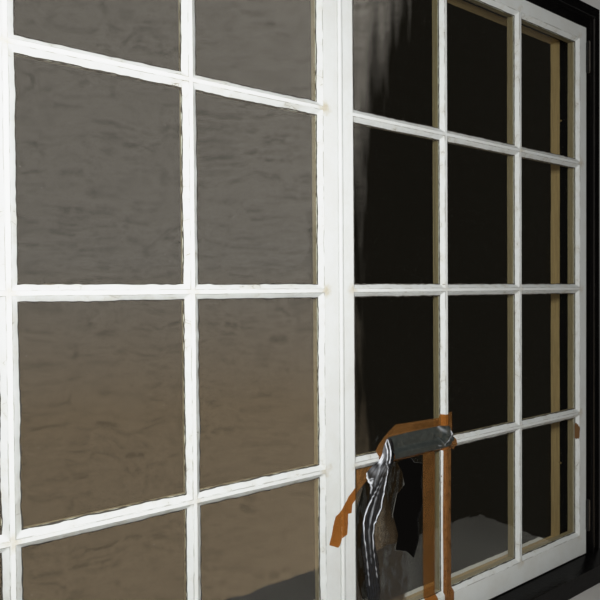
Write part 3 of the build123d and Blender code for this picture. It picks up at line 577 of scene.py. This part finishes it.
def creases(x, z, seed, count, height, width, box):
    """Sharp little ridges: each is exp(-distance / width) from a random short line."""
    rng = np.random.default_rng(seed)
    cx = rng.uniform(box[0], box[1], count)
    cz = rng.uniform(box[2], box[3], count)
    angle = rng.uniform(0, np.pi, count)
    length = rng.uniform(5, 22, count)
    size = rng.uniform(0.3, 1.0, count) * height
    dx, dz = x[..., None] - cx, z[..., None] - cz
    run = dx * np.cos(angle) + dz * np.sin(angle)
    off = np.abs(-dx * np.sin(angle) + dz * np.cos(angle))
    ridge = size * np.exp(-off / width) * np.exp(-((run / length) ** 2))
    return ridge.sum(-1)


def to_line(x, z, line):
    """Distance from plane points to a line of corners, and the line's strength there.

    On each run of the line the foot of the perpendicular is held between its ends, and
    the nearest run wins. A corner is (x, z, strength), mixed evenly along a run.
    """
    line = np.asarray(line, float)
    a, step = line[:-1], np.diff(line, axis=0)
    dx, dz = x[..., None] - a[:, 0], z[..., None] - a[:, 1]
    t = (dx * step[:, 0] + dz * step[:, 1]) / (step[:, :2] ** 2).sum(1)
    t = np.clip(t, 0, 1)
    off = np.hypot(dx - t * step[:, 0], dz - t * step[:, 1])
    best = off.argmin(-1)[..., None]
    strength = a[:, 2] + t * step[:, 2]
    return (np.take_along_axis(off, best, -1)[..., 0],
            np.take_along_axis(strength, best, -1)[..., 0])


def folds(x, z, lines):
    """Height and painted highlight of sharp folds: exp(-distance / width) for each line,
    summed.

    Each line is (height, width, highlight, corners). Its painted highlight falls off as
    exp(-(distance / width) squared), and the strongest line wins.
    exp(-(distance / width) squared), and the strongest line wins.
    """
    height, painted_highlight = np.zeros(x.shape), np.zeros(x.shape)
    for tall, width, bright, corners in lines:
        off, strength = to_line(x, z, corners)
        height += tall * strength * np.exp(-off / width)
        painted_highlight = np.maximum(painted_highlight, bright * strength * np.exp(-(off / width) ** 2))
    return height, painted_highlight


def film(name, upper, lower, n, m, lift, seed, crease, layers):
    """A tape over the sash: its plane shape, the ground's depth, and creases towards us."""
    flat, run = ruled(upper, lower, n, m)
    x, z = flat[..., 0], flat[..., 1]
    box = (x.min(), x.max(), z.min(), z.max())
    y = film_ground(x, z) - lift - creases(x, z, seed, 26, crease, 1.1, box)
    y = y - 0.12 * np.sin(x / 3.1 + 2 * np.sin(z / 11)) * np.sin(z / 4.3)
    thick = np.ones(x.shape) if layers is None else layers(x, z)
    return build(name, np.stack([x, y, z], -1), values={"layers": thick}, run=run)


# Pieces


def paint_members(words, outside, inside, dirt, stain, split, gloss, upright, level):
    """Paint members with one finish, brushed along the upright and along the level ones."""
    for along, way, names in (("Z", "upright", upright), ("X", "level", level)):
        finish = oil_paint(f"{words} brushed {way}", outside, inside, dirt, stain, along,
                           split, gloss)
        put_on(finish, *names)


class WINDOW_OT_paint_sashes(bpy.types.Operator):
    """Brush white oil paint over the stiles, rails and bars of both sashes"""
    bl_idname = "window.paint_sashes"
    bl_label = "Paint the sashes"

    def execute(self, context):
        look = context.scene.window_colours
        paint_members(
            "white oil paint", look.white, look.room, "#CFCCC0", "#B09A66", 0.0128, 0.36,
            [f"{side}_{name}" for side in SIDES
             for name in ("meeting_stile", "hinge_stile", "upright_bar_1", "upright_bar_2")],
            [f"{side}_{name}" for side in SIDES
             for name in ("top_rail", "bottom_rail", *(f"cross_bar_{i}" for i in (1, 2, 3)))])
        return {"FINISHED"}


class WINDOW_OT_paint_frame(bpy.types.Operator):
    """Brush black gloss over the frame outside and buff on its room side"""
    bl_idname = "window.paint_frame"
    bl_label = "Paint the frame"

    def execute(self, context):
        look = context.scene.window_colours
        paint_members("black gloss paint", look.black, look.buff, "#100F0E", "#15120F",
                      0.0665, 0.07, ["left_jamb", "right_jamb"], ["head", "sill"])
        return {"FINISHED"}


class WINDOW_OT_run_putty(bpy.types.Operator):
    """Knife the face putty round every pane and paint it"""
    bl_idname = "window.run_putty"
    bl_label = "Run the putty"

    def execute(self, context):
        sizes, look = context.scene.window_sizes, context.scene.window_colours
        width, height = sizes.sight_width / MM, sizes.sight_height / MM
        bar, putty = sizes.bar_width / MM, sizes.putty_width / MM
        material = painted_putty("painted linseed putty", look.putty)
        for sign, side in ((-1, "left"), (1, "right")):
            col, row = np.meshgrid(np.arange(COLS), np.arange(ROWS))
            x = FIRST_SIGHT + col.ravel() * (width + bar)
            x = x if sign > 0 else -x - width
            z = FOOT_SIGHT + row.ravel() * (height + bar)
            sway = sizes.hand_waver / MM * (0.6 if sign > 0 else 1.0)
            points, to_glass = bevel_rings(list(zip(x, z)), width, height, putty, sway,
                                           7 if sign > 0 else 3)
            px, pz = points[..., 0], points[..., 2]
            bare = np.zeros(px.shape)
            if sign > 0:
                # Paint scraped off beside the hinge stile, and worn beside the break
                scar = np.exp(-(((px - 764) / 9) ** 2 + ((pz - 370) / 22) ** 2) ** 2)
                break_away = np.exp(-(((px - 268) / 7) ** 2 + ((pz - 345) / 26) ** 4))
                bare = np.maximum(scar, 0.4 * break_away)
            piece = build(f"{side}_face_putty", points, (True, True),
                          {"to_glass": to_glass, "bare": bare})
            finish_piece(piece, material, f"{side}_sash", [f"{side}_putty"])
        return {"FINISHED"}


class WINDOW_OT_glaze(bpy.types.Operator):
    """Give the panes old sheet glass, the smashed one included"""
    bl_idname = "window.glaze"
    bl_label = "Glaze"

    def execute(self, context):
        tint = context.scene.window_colours.glass
        glass = sheet_glass("drawn sheet glass", tint, 0.0)
        for side in SIDES:
            put_on(glass, *(f"{side}_panes_row_{i + 1}" for i in range(ROWS)))
        put_on(sheet_glass("dirty drawn sheet glass", tint, 0.2), "broken_pane")
        return {"FINISHED"}


class WINDOW_OT_finish_fittings(bpy.types.Operator):
    """Finish hinges, screws, bolts and the turning fastener"""
    bl_idname = "window.finish_fittings"
    bl_label = "Finish the fittings"

    def execute(self, context):
        look = context.scene.window_colours
        iron = worn_metal("black painted iron", look.black, "#1B1714", 0.0, 0.4, 130.0)
        steel = worn_metal("dull steel", "#BAB7B0", "#6E5C49", 0.6, 0.4, 260.0)
        japanned = worn_metal("japanned steel", "#1A1918", "#6F6A63", 0.6, 0.3, 150.0)
        brass = worn_metal("aged cast brass", look.brass, "#4F3B1E", 1.0, 0.28, 120.0)
        for side in SIDES:
            put_on(iron, *(f"{side}_{level}_hinge_{name}" for level in ("top", "bottom")
                           for name in ("frame_plate", "sash_plate", "pin")))
            put_on(steel, f"{side}_screws")
        put_on(japanned, "top_bolt_plate", "bottom_bolt_plate", "strike_plate")
        put_on(steel, "frame_screws", "top_bolt_rod", "bottom_bolt_rod")
        put_on(brass, "fastener_plate", "fastener_handle")
        return {"FINISHED"}


def band_layers(x, z):
    """Layers of the band: more below its lap, and a line of glue near its top edge."""
    lap = 457 - (x - 133) * 0.01
    glue = 464 + 5 * np.sin((x - 150) / 38)
    return (1 + np.clip((lap - z) / 1.2, 0, 0.6)
            + 0.4 * np.exp(-((z - glue) / 2.2) ** 2) * (x < 262))


# Piece, body, CAD node it stands for, upper and lower edge, grid, lift off the ground,
# seed and height of its creases, and its layers of tape
BROWN_TAPES = (
    ("brown_tape_band_film", "right_sash", ["brown_tape_band"],
     [(91, 431), (97, 440), (112, 453), (125, 463), (142, 473), (200, 471.5), (262, 470),
      (265, 477.5), (287, 476), (302, 478)],
     [(90, 405), (105, 404), (118, 403), (130, 403), (150, 403), (200, 403), (262, 404),
      (272, 403), (290, 405), (303, 409)],
     150, 56, 0.35, 11, 0.55, band_layers),
    ("brown_tape_flap", "right_sash", [],
     [(288, 446), (296, 436), (303, 424), (306, 412), (308, 400)],
     [(284, 412), (288, 407), (293, 405), (299, 402), (307, 398.5)],
     40, 24, 0.9, 15, 0.9, lambda x, z: 1.7 + 0 * x),
    ("brown_tape_corner", "right_sash", [],
     [(43, 404), (42, 384), (33, 375), (18.8, 363.7), (7.7, 352.9), (0.1, 343)],
     [(92, 404), (84, 391), (70, 380), (53, 368), (31.7, 352), (26, 347), (24, 331),
      (15.8, 331.7), (14.7, 311), (12, 296), (0.1, 292)],
     110, 40, 0.35, 12, 0.8, lambda x, z: 1 + 0.75 * np.clip((x - 36) / 6, 0, 1)),
    ("brown_tape_strip", "right_sash", ["brown_tape_strips"],
     [(216, 404), (215.5, 330), (216, 240), (216, 160), (216, 84)],
     [(250, 404), (249, 330), (248.5, 240), (248.5, 160), (248, 86)],
     170, 22, 0.3, 13, 0.35, None),
    ("brown_tape_bar_strip", "right_sash", [],
     [(269.5, 404), (269, 330), (268.5, 240), (269, 160), (268.5, 84)],
     [(299, 404), (298, 330), (297, 240), (298, 160), (296, 86)],
     170, 22, 0.45, 14, 0.5, lambda x, z: 1.8 + 0 * x),
    ("brown_tape_left_end_film", "left_sash", ["brown_tape_left_end"],
     [(-0.2, 343), (-5, 339), (-12.6, 333), (-18, 318), (-22, 300), (-27, 286)],
     [(-0.2, 292), (-2, 286), (-4, 282), (-6, 279), (-8, 277)],
     50, 34, 0.35, 16, 0.8, None),
)


class WINDOW_OT_stick_brown_tape(bpy.types.Operator):
    """Stick brown packing tape round the smashed pane"""
    bl_idname = "window.stick_brown_tape"
    bl_label = "Stick the brown tape"

    def execute(self, context):
        material = packing_tape("brown packing tape", context.scene.window_colours.tape)
        for name, body, nodes, *shape in BROWN_TAPES:
            piece = film(name, *shape)
            thicken(piece, context.scene.window_sizes.film)
            finish_piece(piece, material, body, nodes)
        return {"FINISHED"}


# Upper and lower edge of the dark tape, and its sharp folds with their painted highlights as
# folds() takes them
DARK_TAPE_UPPER = (
    (118.5, 452), (140, 453), (173, 454), (225, 454.2), (261, 454.2), (280, 453.4),
    (291, 449.5), (298, 437))
DARK_TAPE_LOWER = (
    (129.5, 408.5), (150, 409), (174, 409.6), (213, 409.4), (245, 409.2), (268, 410),
    (287, 413), (299, 424))
DARK_TAPE_FOLDS = (
    (0.9, 1.0, 0.5, [(267, 417, 0.5), (279, 426, 1), (286, 433, 0.6)]),
    (0.7, 0.9, 0.35, [(247, 419, 0.3), (252, 417, 1), (258, 416, 0.4)]),
    (0.8, 1.0, 0.3, [(255, 432, 0.1), (268, 414, 0.6), (273, 412, 0.3)]),
    (0.8, 3.0, 0.28, [(258, 453, 1), (264, 447, 1), (271, 443, 0.4)]),
    (1.0, 2.6, 1.0, [(286, 445, 0.5), (293, 440, 1), (296, 433, 1), (290, 430, 0.8)]),
    (0.8, 1.0, 0.9, [(284, 431, 0.3), (290, 437, 1), (297, 442, 0.9)]),
)


class WINDOW_OT_stick_dark_tape(bpy.types.Operator):
    """Stick the dark cloth tape over the band and the bag's top"""
    bl_idname = "window.stick_dark_tape"
    bl_label = "Stick the dark tape"

    def execute(self, context):
        material = cloth_tape("cloth-backed tape", context.scene.window_colours.duct)
        flat, run = ruled(DARK_TAPE_UPPER, DARK_TAPE_LOWER, 190, 56)
        x, z = flat[..., 0], flat[..., 1]
        v = np.linspace(0, 1, x.shape[1])[None]
        box = (x.min(), x.max(), z.min(), z.max())
        # A cushion of air under the tape, a lip over the bag, long tension lines from the
        # crumpled right end, and creases that crowd towards that end
        y = film_ground(x, z) * 0.85 - 1.35 - 2.2 * np.sin(np.pi * v) ** 0.8
        start = x - 118 - 0.25 * (BAG_TOP - z)
        y = y - 2.4 * np.exp(-start / 9) * np.sin(np.pi * np.clip(v * 0.96 + 0.02, 0, 1)) ** 0.5
        end = np.clip((x - 225) / 70, 0, 1)
        pull = np.sin((z - 430) * 0.55 + (x - 230) * 0.09 + 1.3 * np.sin(x / 13))
        y = y - 1.0 * end ** 1.6 * pull
        y = y - creases(x, z, 21, 18, 0.5, 1.6, box)
        y = y - creases(x, z, 22, 26, 1.7, 1.4, (262, 299, 408, 452))
        # The folds raise the tape, and their painted highlights turn its colour near white
        # along them
        ridge, painted_highlight = folds(x, z, DARK_TAPE_FOLDS)
        piece = build("dark_tape", np.stack([x, y - ridge, z], -1), values={"painted_highlight": painted_highlight},
                      run=run)
        thicken(piece, context.scene.window_sizes.cloth_tape)
        finish_piece(piece, material, "right_sash", ["duct_tape"])
        return {"FINISHED"}


# Both edges of the hanging bag, with the torn flap on the left, and its sharp folds with their
# painted highlights
BAG_LEFT = (
    (109, 452), (101.5, 441), (99, 434), (96.4, 425), (92.6, 419), (87, 414.4), (74, 408.4),
    (64, 402.8), (57, 397), (58.5, 392), (57.4, 389), (61.5, 383), (61, 380.5), (66.5, 375),
    (66, 370), (67.9, 367), (66.5, 360), (64, 348), (56.5, 332), (51.6, 319), (48, 306),
    (46, 288), (45, 268), (48, 245), (52, 226), (55, 190), (60, 165), (66, 152))
BAG_RIGHT = (
    (120, 452), (126, 441), (129, 425), (129, 413), (123, 405), (117.5, 394), (114.5, 387.5),
    (109.8, 372), (103.6, 352), (99.4, 335), (97.3, 325), (91, 316), (80, 299), (76, 288),
    (77, 270), (82, 245), (87, 226), (90, 190), (91, 165), (89, 152))
BAG_FOLDS = (
    (2.4, 1.4, 1.1, [(108, 452, 0.6), (104.5, 444, 1), (108.3, 431.5, 1), (108.3, 420, 0.9),
     (105.8, 410, 0.5)]),
    (2.2, 1.3, 1.1, [(110, 451, 0.6), (114.9, 438.7, 0.8), (117, 428, 1), (116.3, 416, 1),
     (113.7, 407, 0.9)]),
    (0.6, 5.0, 0.2, [(101, 438, 0.8), (101.5, 426, 1), (102, 416, 0.5)]),
    (1.6, 4.2, 1.3, [(96, 423.5, 0.7), (93.5, 417.4, 1), (91, 412.5, 0.9)]),
    (1.6, 2.8, 0.36, [(90, 408, 1), (86.9, 399, 0.9), (84, 391, 0.8), (79.4, 380.5, 0.6),
     (75.4, 371, 0.2)]),
    (0.8, 7.0, 0.16, [(72, 402, 1), (78, 396, 1), (100, 398, 0.8)]),
    (2.6, 0.8, 1.1, [(104.3, 407.6, 0.5), (109.8, 397.3, 0.6), (108.2, 389, 0.8),
     (103.3, 374, 0.9), (96.9, 354, 1), (92.8, 337.5, 1), (91.2, 327, 0.6), (84.2, 318.4, 1),
     (73.2, 301.3, 1), (70, 280, 0.7), (72, 250, 0.4), (80, 200, 0.3)]),
    (2.4, 0.8, 1.1, [(94.1, 382.6, 0.2), (78.3, 361.4, 0.4), (67.5, 347.6, 0.7),
     (58.4, 332.3, 1), (52.3, 319.9, 1), (49.4, 307, 1), (50, 280, 0.6), (56, 240, 0.35),
     (62, 190, 0.25)]),
    (1.4, 1.4, 0.3, [(95.8, 379, 0.2), (78.2, 348.6, 0.7), (70.5, 330.7, 1),
     (64.3, 312.6, 0.9), (60, 290, 0.5), (66, 230, 0.3)]),
    (1.0, 1.0, 0.35, [(104, 409, 1), (108.5, 400, 0.8), (108.5, 395, 0.3)]),
    (0.8, 2.3, 1.1, [(57.5, 396, 1), (59, 387, 1), (64, 380, 1), (67.4, 376.6, 1),
     (71.4, 381.2, 0.7)]),
    (0.5, 0.8, 0.8, [(64, 384.4, 0.8), (69, 385.4, 1), (74, 385.7, 0.4)]),
    (0.5, 1.3, 0.8, [(67.4, 375.5, 1), (69.6, 368, 0.8), (67.6, 359, 0.5)]),
)


class WINDOW_OT_gather_bag(bpy.types.Operator):
    """Gather the black bag under the dark tape and let it hang down the pane"""
    bl_idname = "window.gather_bag"
    bl_label = "Gather the bag"

    def execute(self, context):
        material = polythene("black polythene film", context.scene.window_colours.bag)
        n, m = 250, 140
        left, right = np.array(BAG_LEFT), np.array(BAG_RIGHT)
        z = np.linspace(BAG_TOP, BAG_FOOT, n)[:, None]
        a = np.interp(-z, -left[:, 1], left[:, 0])
        b = np.interp(-z, -right[:, 1], right[:, 0])
        # Front and back of the flattened bag make one loop round each level
        u = np.linspace(0, 1, m, endpoint=False)[None]
        turn = 0.62
        front = u < turn
        share = np.where(front, u / turn, (1 - u) / (1 - turn))
        x = a * (1 - share) + b * share
        z = z * np.ones_like(x)
        # Body: fuller down the bag, thin where it runs under the dark tape
        full = 1.6 + 4.2 * np.clip((440 - z) / 90, 0, 1) - 1.2 * np.clip((230 - z) / 80, 0, 1)
        under = np.clip((x - 118) / 6, 0, 1) * np.clip((z - 402) / 8, 0, 1)
        ends = np.sin(np.pi * np.clip(share, 0.001, 0.999)) ** 0.5
        drift = 6.5 * share + 1.4 * np.sin((z - 300) / 38) + 0.5 * np.sin((z - 300) / 9)
        pleat = (1 - np.abs(2 * (drift - np.floor(drift)) - 1)) ** 1.8
        # The folds raise the film, and their painted highlights turn its colour near white
        # along them
        ridge, painted_highlight = folds(x, z, BAG_FOLDS)
        y = -1.6 - ends * (full * (0.5 + 0.42 * pleat)) * (1 - 0.9 * under)
        y = y - (ridge + creases(x, z, 31, 60, 0.9, 1.5, (60, 128, 160, 440))) * (1 - under)
        # A faint painted sheen across the front, weaker where shade is painted to the lower
        # right; the back gets a little painted sheen too
        shade = np.clip((x - 96) / 6, 0, 1) * np.clip((402 - z) / 10, 0, 1)
        painted_sheen = 0.008 * np.exp(-((share - 0.45) / 0.4) ** 4) * (1 - 0.6 * shade)
        painted_highlight = np.where(front, np.maximum(painted_highlight, painted_sheen) * (1 - under), 0.02)
        # The back hangs nearly flat, level with the putty's face
        back = -1.3
        y = np.where(front, np.clip(y, -12.8, back),
                     back - 0.2 * ends * np.sin(share * 21 + z / 60))
        points = np.stack([x, y, z], -1)
        girth = np.linalg.norm(np.roll(points, -1, 1) - points, axis=-1)
        run = np.stack([np.cumsum(girth, 1), BAG_TOP - z], -1)
        piece = build("bag_film", points, (False, True), {"painted_highlight": painted_highlight}, run)
        thicken(piece, context.scene.window_sizes.bag)
        finish_piece(piece, material, "right_sash", ["bag"])
        return {"FINISHED"}


def lay_floor():
    """A pale board under the window, its top half a millimetre below the sill."""
    material, add, place = start_material("pale studio board")
    grain = add("TexNoise", {"Vector": place, "Scale": 30.0, "Detail": 4.0})
    tone = add("Mix", {0: grain, 6: "#D8D6D1", 7: "#CFCCC6"}, data_type="RGBA")
    board = add("BsdfPrincipled", {"Base Color": tone, "Roughness": 0.7})
    x, y = np.meshgrid(np.linspace(-980, 900, 29), np.linspace(-400, 200, 17), indexing="ij")
    floor = build("floor", np.stack([x, y, np.full(x.shape, -0.5)], -1))
    floor.data.materials.append(close_material(material, board))


def light_surroundings(scene):
    """What rays meet round the window: plain grey for the camera, dim light on the pieces.

    A mirrored ray meets a pale, clouded cloth hung in front, greyer above and warmer
    below, also once it has left the glass again.
    """
    scene.world = bpy.data.worlds.new("studio")
    scene.world.use_nodes = True
    scene.world.node_tree.nodes.clear()
    add = partial(add_node, scene.world.node_tree)
    way = add("TexCoord").outputs["Generated"]
    axes = add("SeparateXYZ", {0: way})
    # The cloth's edges: the axis, where it starts to show and where it is full
    ahead, far, near, high = (
        add("MapRange", {"Value": axes.outputs[axis], "From Min": start, "From Max": full})
        for axis, start, full in (
            (1, 0.05, -0.25), (0, 0.645, 0.57), (0, -0.35, -0.02), (2, 0.72, 0.45)))
    width = add("Math", {0: far, 1: near}, operation="MULTIPLY")
    front = add("Math", {0: ahead, 1: high}, operation="MULTIPLY")
    cloth = add("Math", {0: width, 1: front}, operation="MULTIPLY")
    flat = add("Mapping", {"Vector": way, "Scale": (42.0, 42.0, 145.0)})
    cloud = add("TexNoise", {"Vector": flat, "Scale": 1.0, "Detail": 3.0, "Distortion": 0.8})
    uneven = add("MapRange", {
        "Value": cloud, "From Min": 0.3, "From Max": 0.7, "To Min": 0.65, "To Max": 1.35})
    lit = add("Math", {0: cloth, 1: uneven}, operation="MULTIPLY")
    low = add("MapRange", {"Value": axes.outputs[2], "From Min": 0.05, "From Max": -0.2})
    tint = add("Mix", {0: low, 6: (1.7, 1.55, 1.36), 7: (1.65, 1.27, 0.85)}, data_type="RGBA")
    bare = add("Mix", {0: ahead, 6: "#6C6A67", 7: "#0C0B0A"}, data_type="RGBA")
    mirrored = add("Mix", {0: lit, 6: bare, 7: tint}, data_type="RGBA")
    grey = "#7E7C79"
    behind = add("Mix", {0: ahead, 6: "#15130F", 7: grey}, data_type="RGBA")
    rays = add("LightPath")
    through = add("Mix", {
        0: rays.outputs["Is Transmission Ray"], 6: "#44423F", 7: behind}, data_type="RGBA")
    turned = add("Math", {
        0: rays.outputs["Is Glossy Ray"], 1: rays.outputs["Glossy Depth"]},
        operation="MULTIPLY", use_clamp=True)
    around = add("Mix", {0: turned, 6: through, 7: mirrored}, data_type="RGBA")
    # The backdrop falls off to black round the line from the camera through the hole
    line = add("VectorMath", {0: way, 1: (0.684, 0.66, -0.308)}, operation="DOT_PRODUCT")
    hole = add("MapRange", {
        "Value": line, "From Min": 0.82, "From Max": 0.992}, interpolation_type="SMOOTHSTEP")
    plain = add("Mix", {0: hole, 6: grey, 7: "#0B0A09"}, data_type="RGBA")
    sky = add("Mix", {0: rays.outputs["Is Camera Ray"], 6: around, 7: plain}, data_type="RGBA")
    back = add("Background", {"Color": sky})
    add("OutputWorld", {"Surface": back})


def soften_highlights(view):
    """A tone curve with a soft shoulder, so that paint near the light keeps its detail."""
    view.view_transform = "Standard"
    view.use_curve_mapping = True
    view.curve_mapping.white_level = (2.0, 2.0, 2.0)
    curve = view.curve_mapping.curves[3]
    curve.points[-1].location = (1.0, 0.97)
    for at in (
            (0.02, 0.04), (0.1, 0.2), (0.3, 0.6), (0.4, 0.77), (0.5, 0.87), (0.75, 0.94)):
        curve.points.new(*at)
    view.curve_mapping.update()


def place_light(scene, name, at, aim, size, power):
    """A round lamp that points at its aim; the panes mirror only the fill."""
    lamp = bpy.data.lights.new(name, "AREA")
    lamp.shape = "DISK"
    lamp.size = size
    lamp.energy = power
    holder = bpy.data.objects.new(name, lamp)
    scene.collection.objects.link(holder)
    holder.location = at
    line = np.subtract(aim, at)
    holder.rotation_euler = (
        math.acos(-line[2] / np.linalg.norm(line)), 0.0,
        math.atan2(line[1], line[0]) - math.pi / 2)
    holder.visible_camera = False
    holder.visible_transmission = False
    holder.visible_glossy = name == "fill"


def place_camera(scene, lens, turn, tilt, roll):
    """The camera at the photo's angle: turned right, tilted up, then rolled."""
    ahead = np.array([math.sin(turn) * math.cos(tilt), math.cos(turn) * math.cos(tilt),
                      math.sin(tilt)])
    right = np.array([math.cos(turn), -math.sin(turn), 0.0])
    top = np.cross(right, ahead)
    side = math.cos(roll) * right + math.sin(roll) * top
    head = -math.sin(roll) * right + math.cos(roll) * top
    camera = bpy.data.objects.new("camera", bpy.data.cameras.new("camera"))
    scene.collection.objects.link(camera)
    camera.data.sensor_width = 36.0
    camera.data.lens = lens
    camera.data.clip_start = 0.02
    place = np.eye(4)
    place[:3, :3] = np.stack([side, head, -ahead], 1)
    place[:3, 3] = np.array(CAMERA_AT) * MM
    camera.matrix_world = Matrix(place.tolist())
    scene.camera = camera


class WINDOW_OT_set_stage(bpy.types.Operator):
    """Lay the floor, place the lights and the camera"""
    bl_idname = "window.set_stage"
    bl_label = "Set the stage"

    def execute(self, context):
        scene, studio = context.scene, context.scene.studio
        lay_floor()
        light_surroundings(scene)
        soften_highlights(scene.view_settings)
        for lamp in (
                ("key", (-0.66, -0.84, 0.96), (-0.12, 0.0, 0.72), 0.24, studio.key_power),
                ("fill", (-2.0, -2.6, 2.0), (0.1, 0.0, 0.7), 1.6, studio.fill_power),
                ("room", (0.5, 2.6, 1.9), (0.0, 0.0, 0.7), 1.8, studio.room_power)):
            place_light(scene, *lamp)
        place_camera(scene, studio.lens, studio.turn, studio.tilt, studio.roll)
        return {"FINISHED"}


OPERATORS = (
    WINDOW_OT_paint_sashes,
    WINDOW_OT_paint_frame,
    WINDOW_OT_run_putty,
    WINDOW_OT_glaze,
    WINDOW_OT_finish_fittings,
    WINDOW_OT_stick_brown_tape,
    WINDOW_OT_stick_dark_tape,
    WINDOW_OT_gather_bag,
    WINDOW_OT_set_stage,
)


class WINDOW_PT_dressing(bpy.types.Panel):
    """The steps that dress the window"""
    bl_idname = "WINDOW_PT_dressing"
    bl_label = "Window dressing"
    bl_space_type = "VIEW_3D"
    bl_region_type = "UI"
    bl_category = "Window"

    def draw(self, context):
        for operator in OPERATORS:
            self.layout.operator(operator.bl_idname)


CLASSES = (WindowSizes, WindowColours, StudioSettings, *OPERATORS, WINDOW_PT_dressing)


def register():
    for each in CLASSES:
        bpy.utils.register_class(each)
    bpy.types.Scene.window_sizes = bpy.props.PointerProperty(type=WindowSizes)
    bpy.types.Scene.window_colours = bpy.props.PointerProperty(type=WindowColours)
    bpy.types.Scene.studio = bpy.props.PointerProperty(type=StudioSettings)


def unregister():
    del bpy.types.Scene.studio
    del bpy.types.Scene.window_colours
    del bpy.types.Scene.window_sizes
    for each in reversed(CLASSES):
        bpy.utils.unregister_class(each)


def main():
    register()
    for operator in OPERATORS:
        group, name = operator.bl_idname.split(".")
        getattr(getattr(bpy.ops, group), name)()


if __name__ == "__main__":
    main()
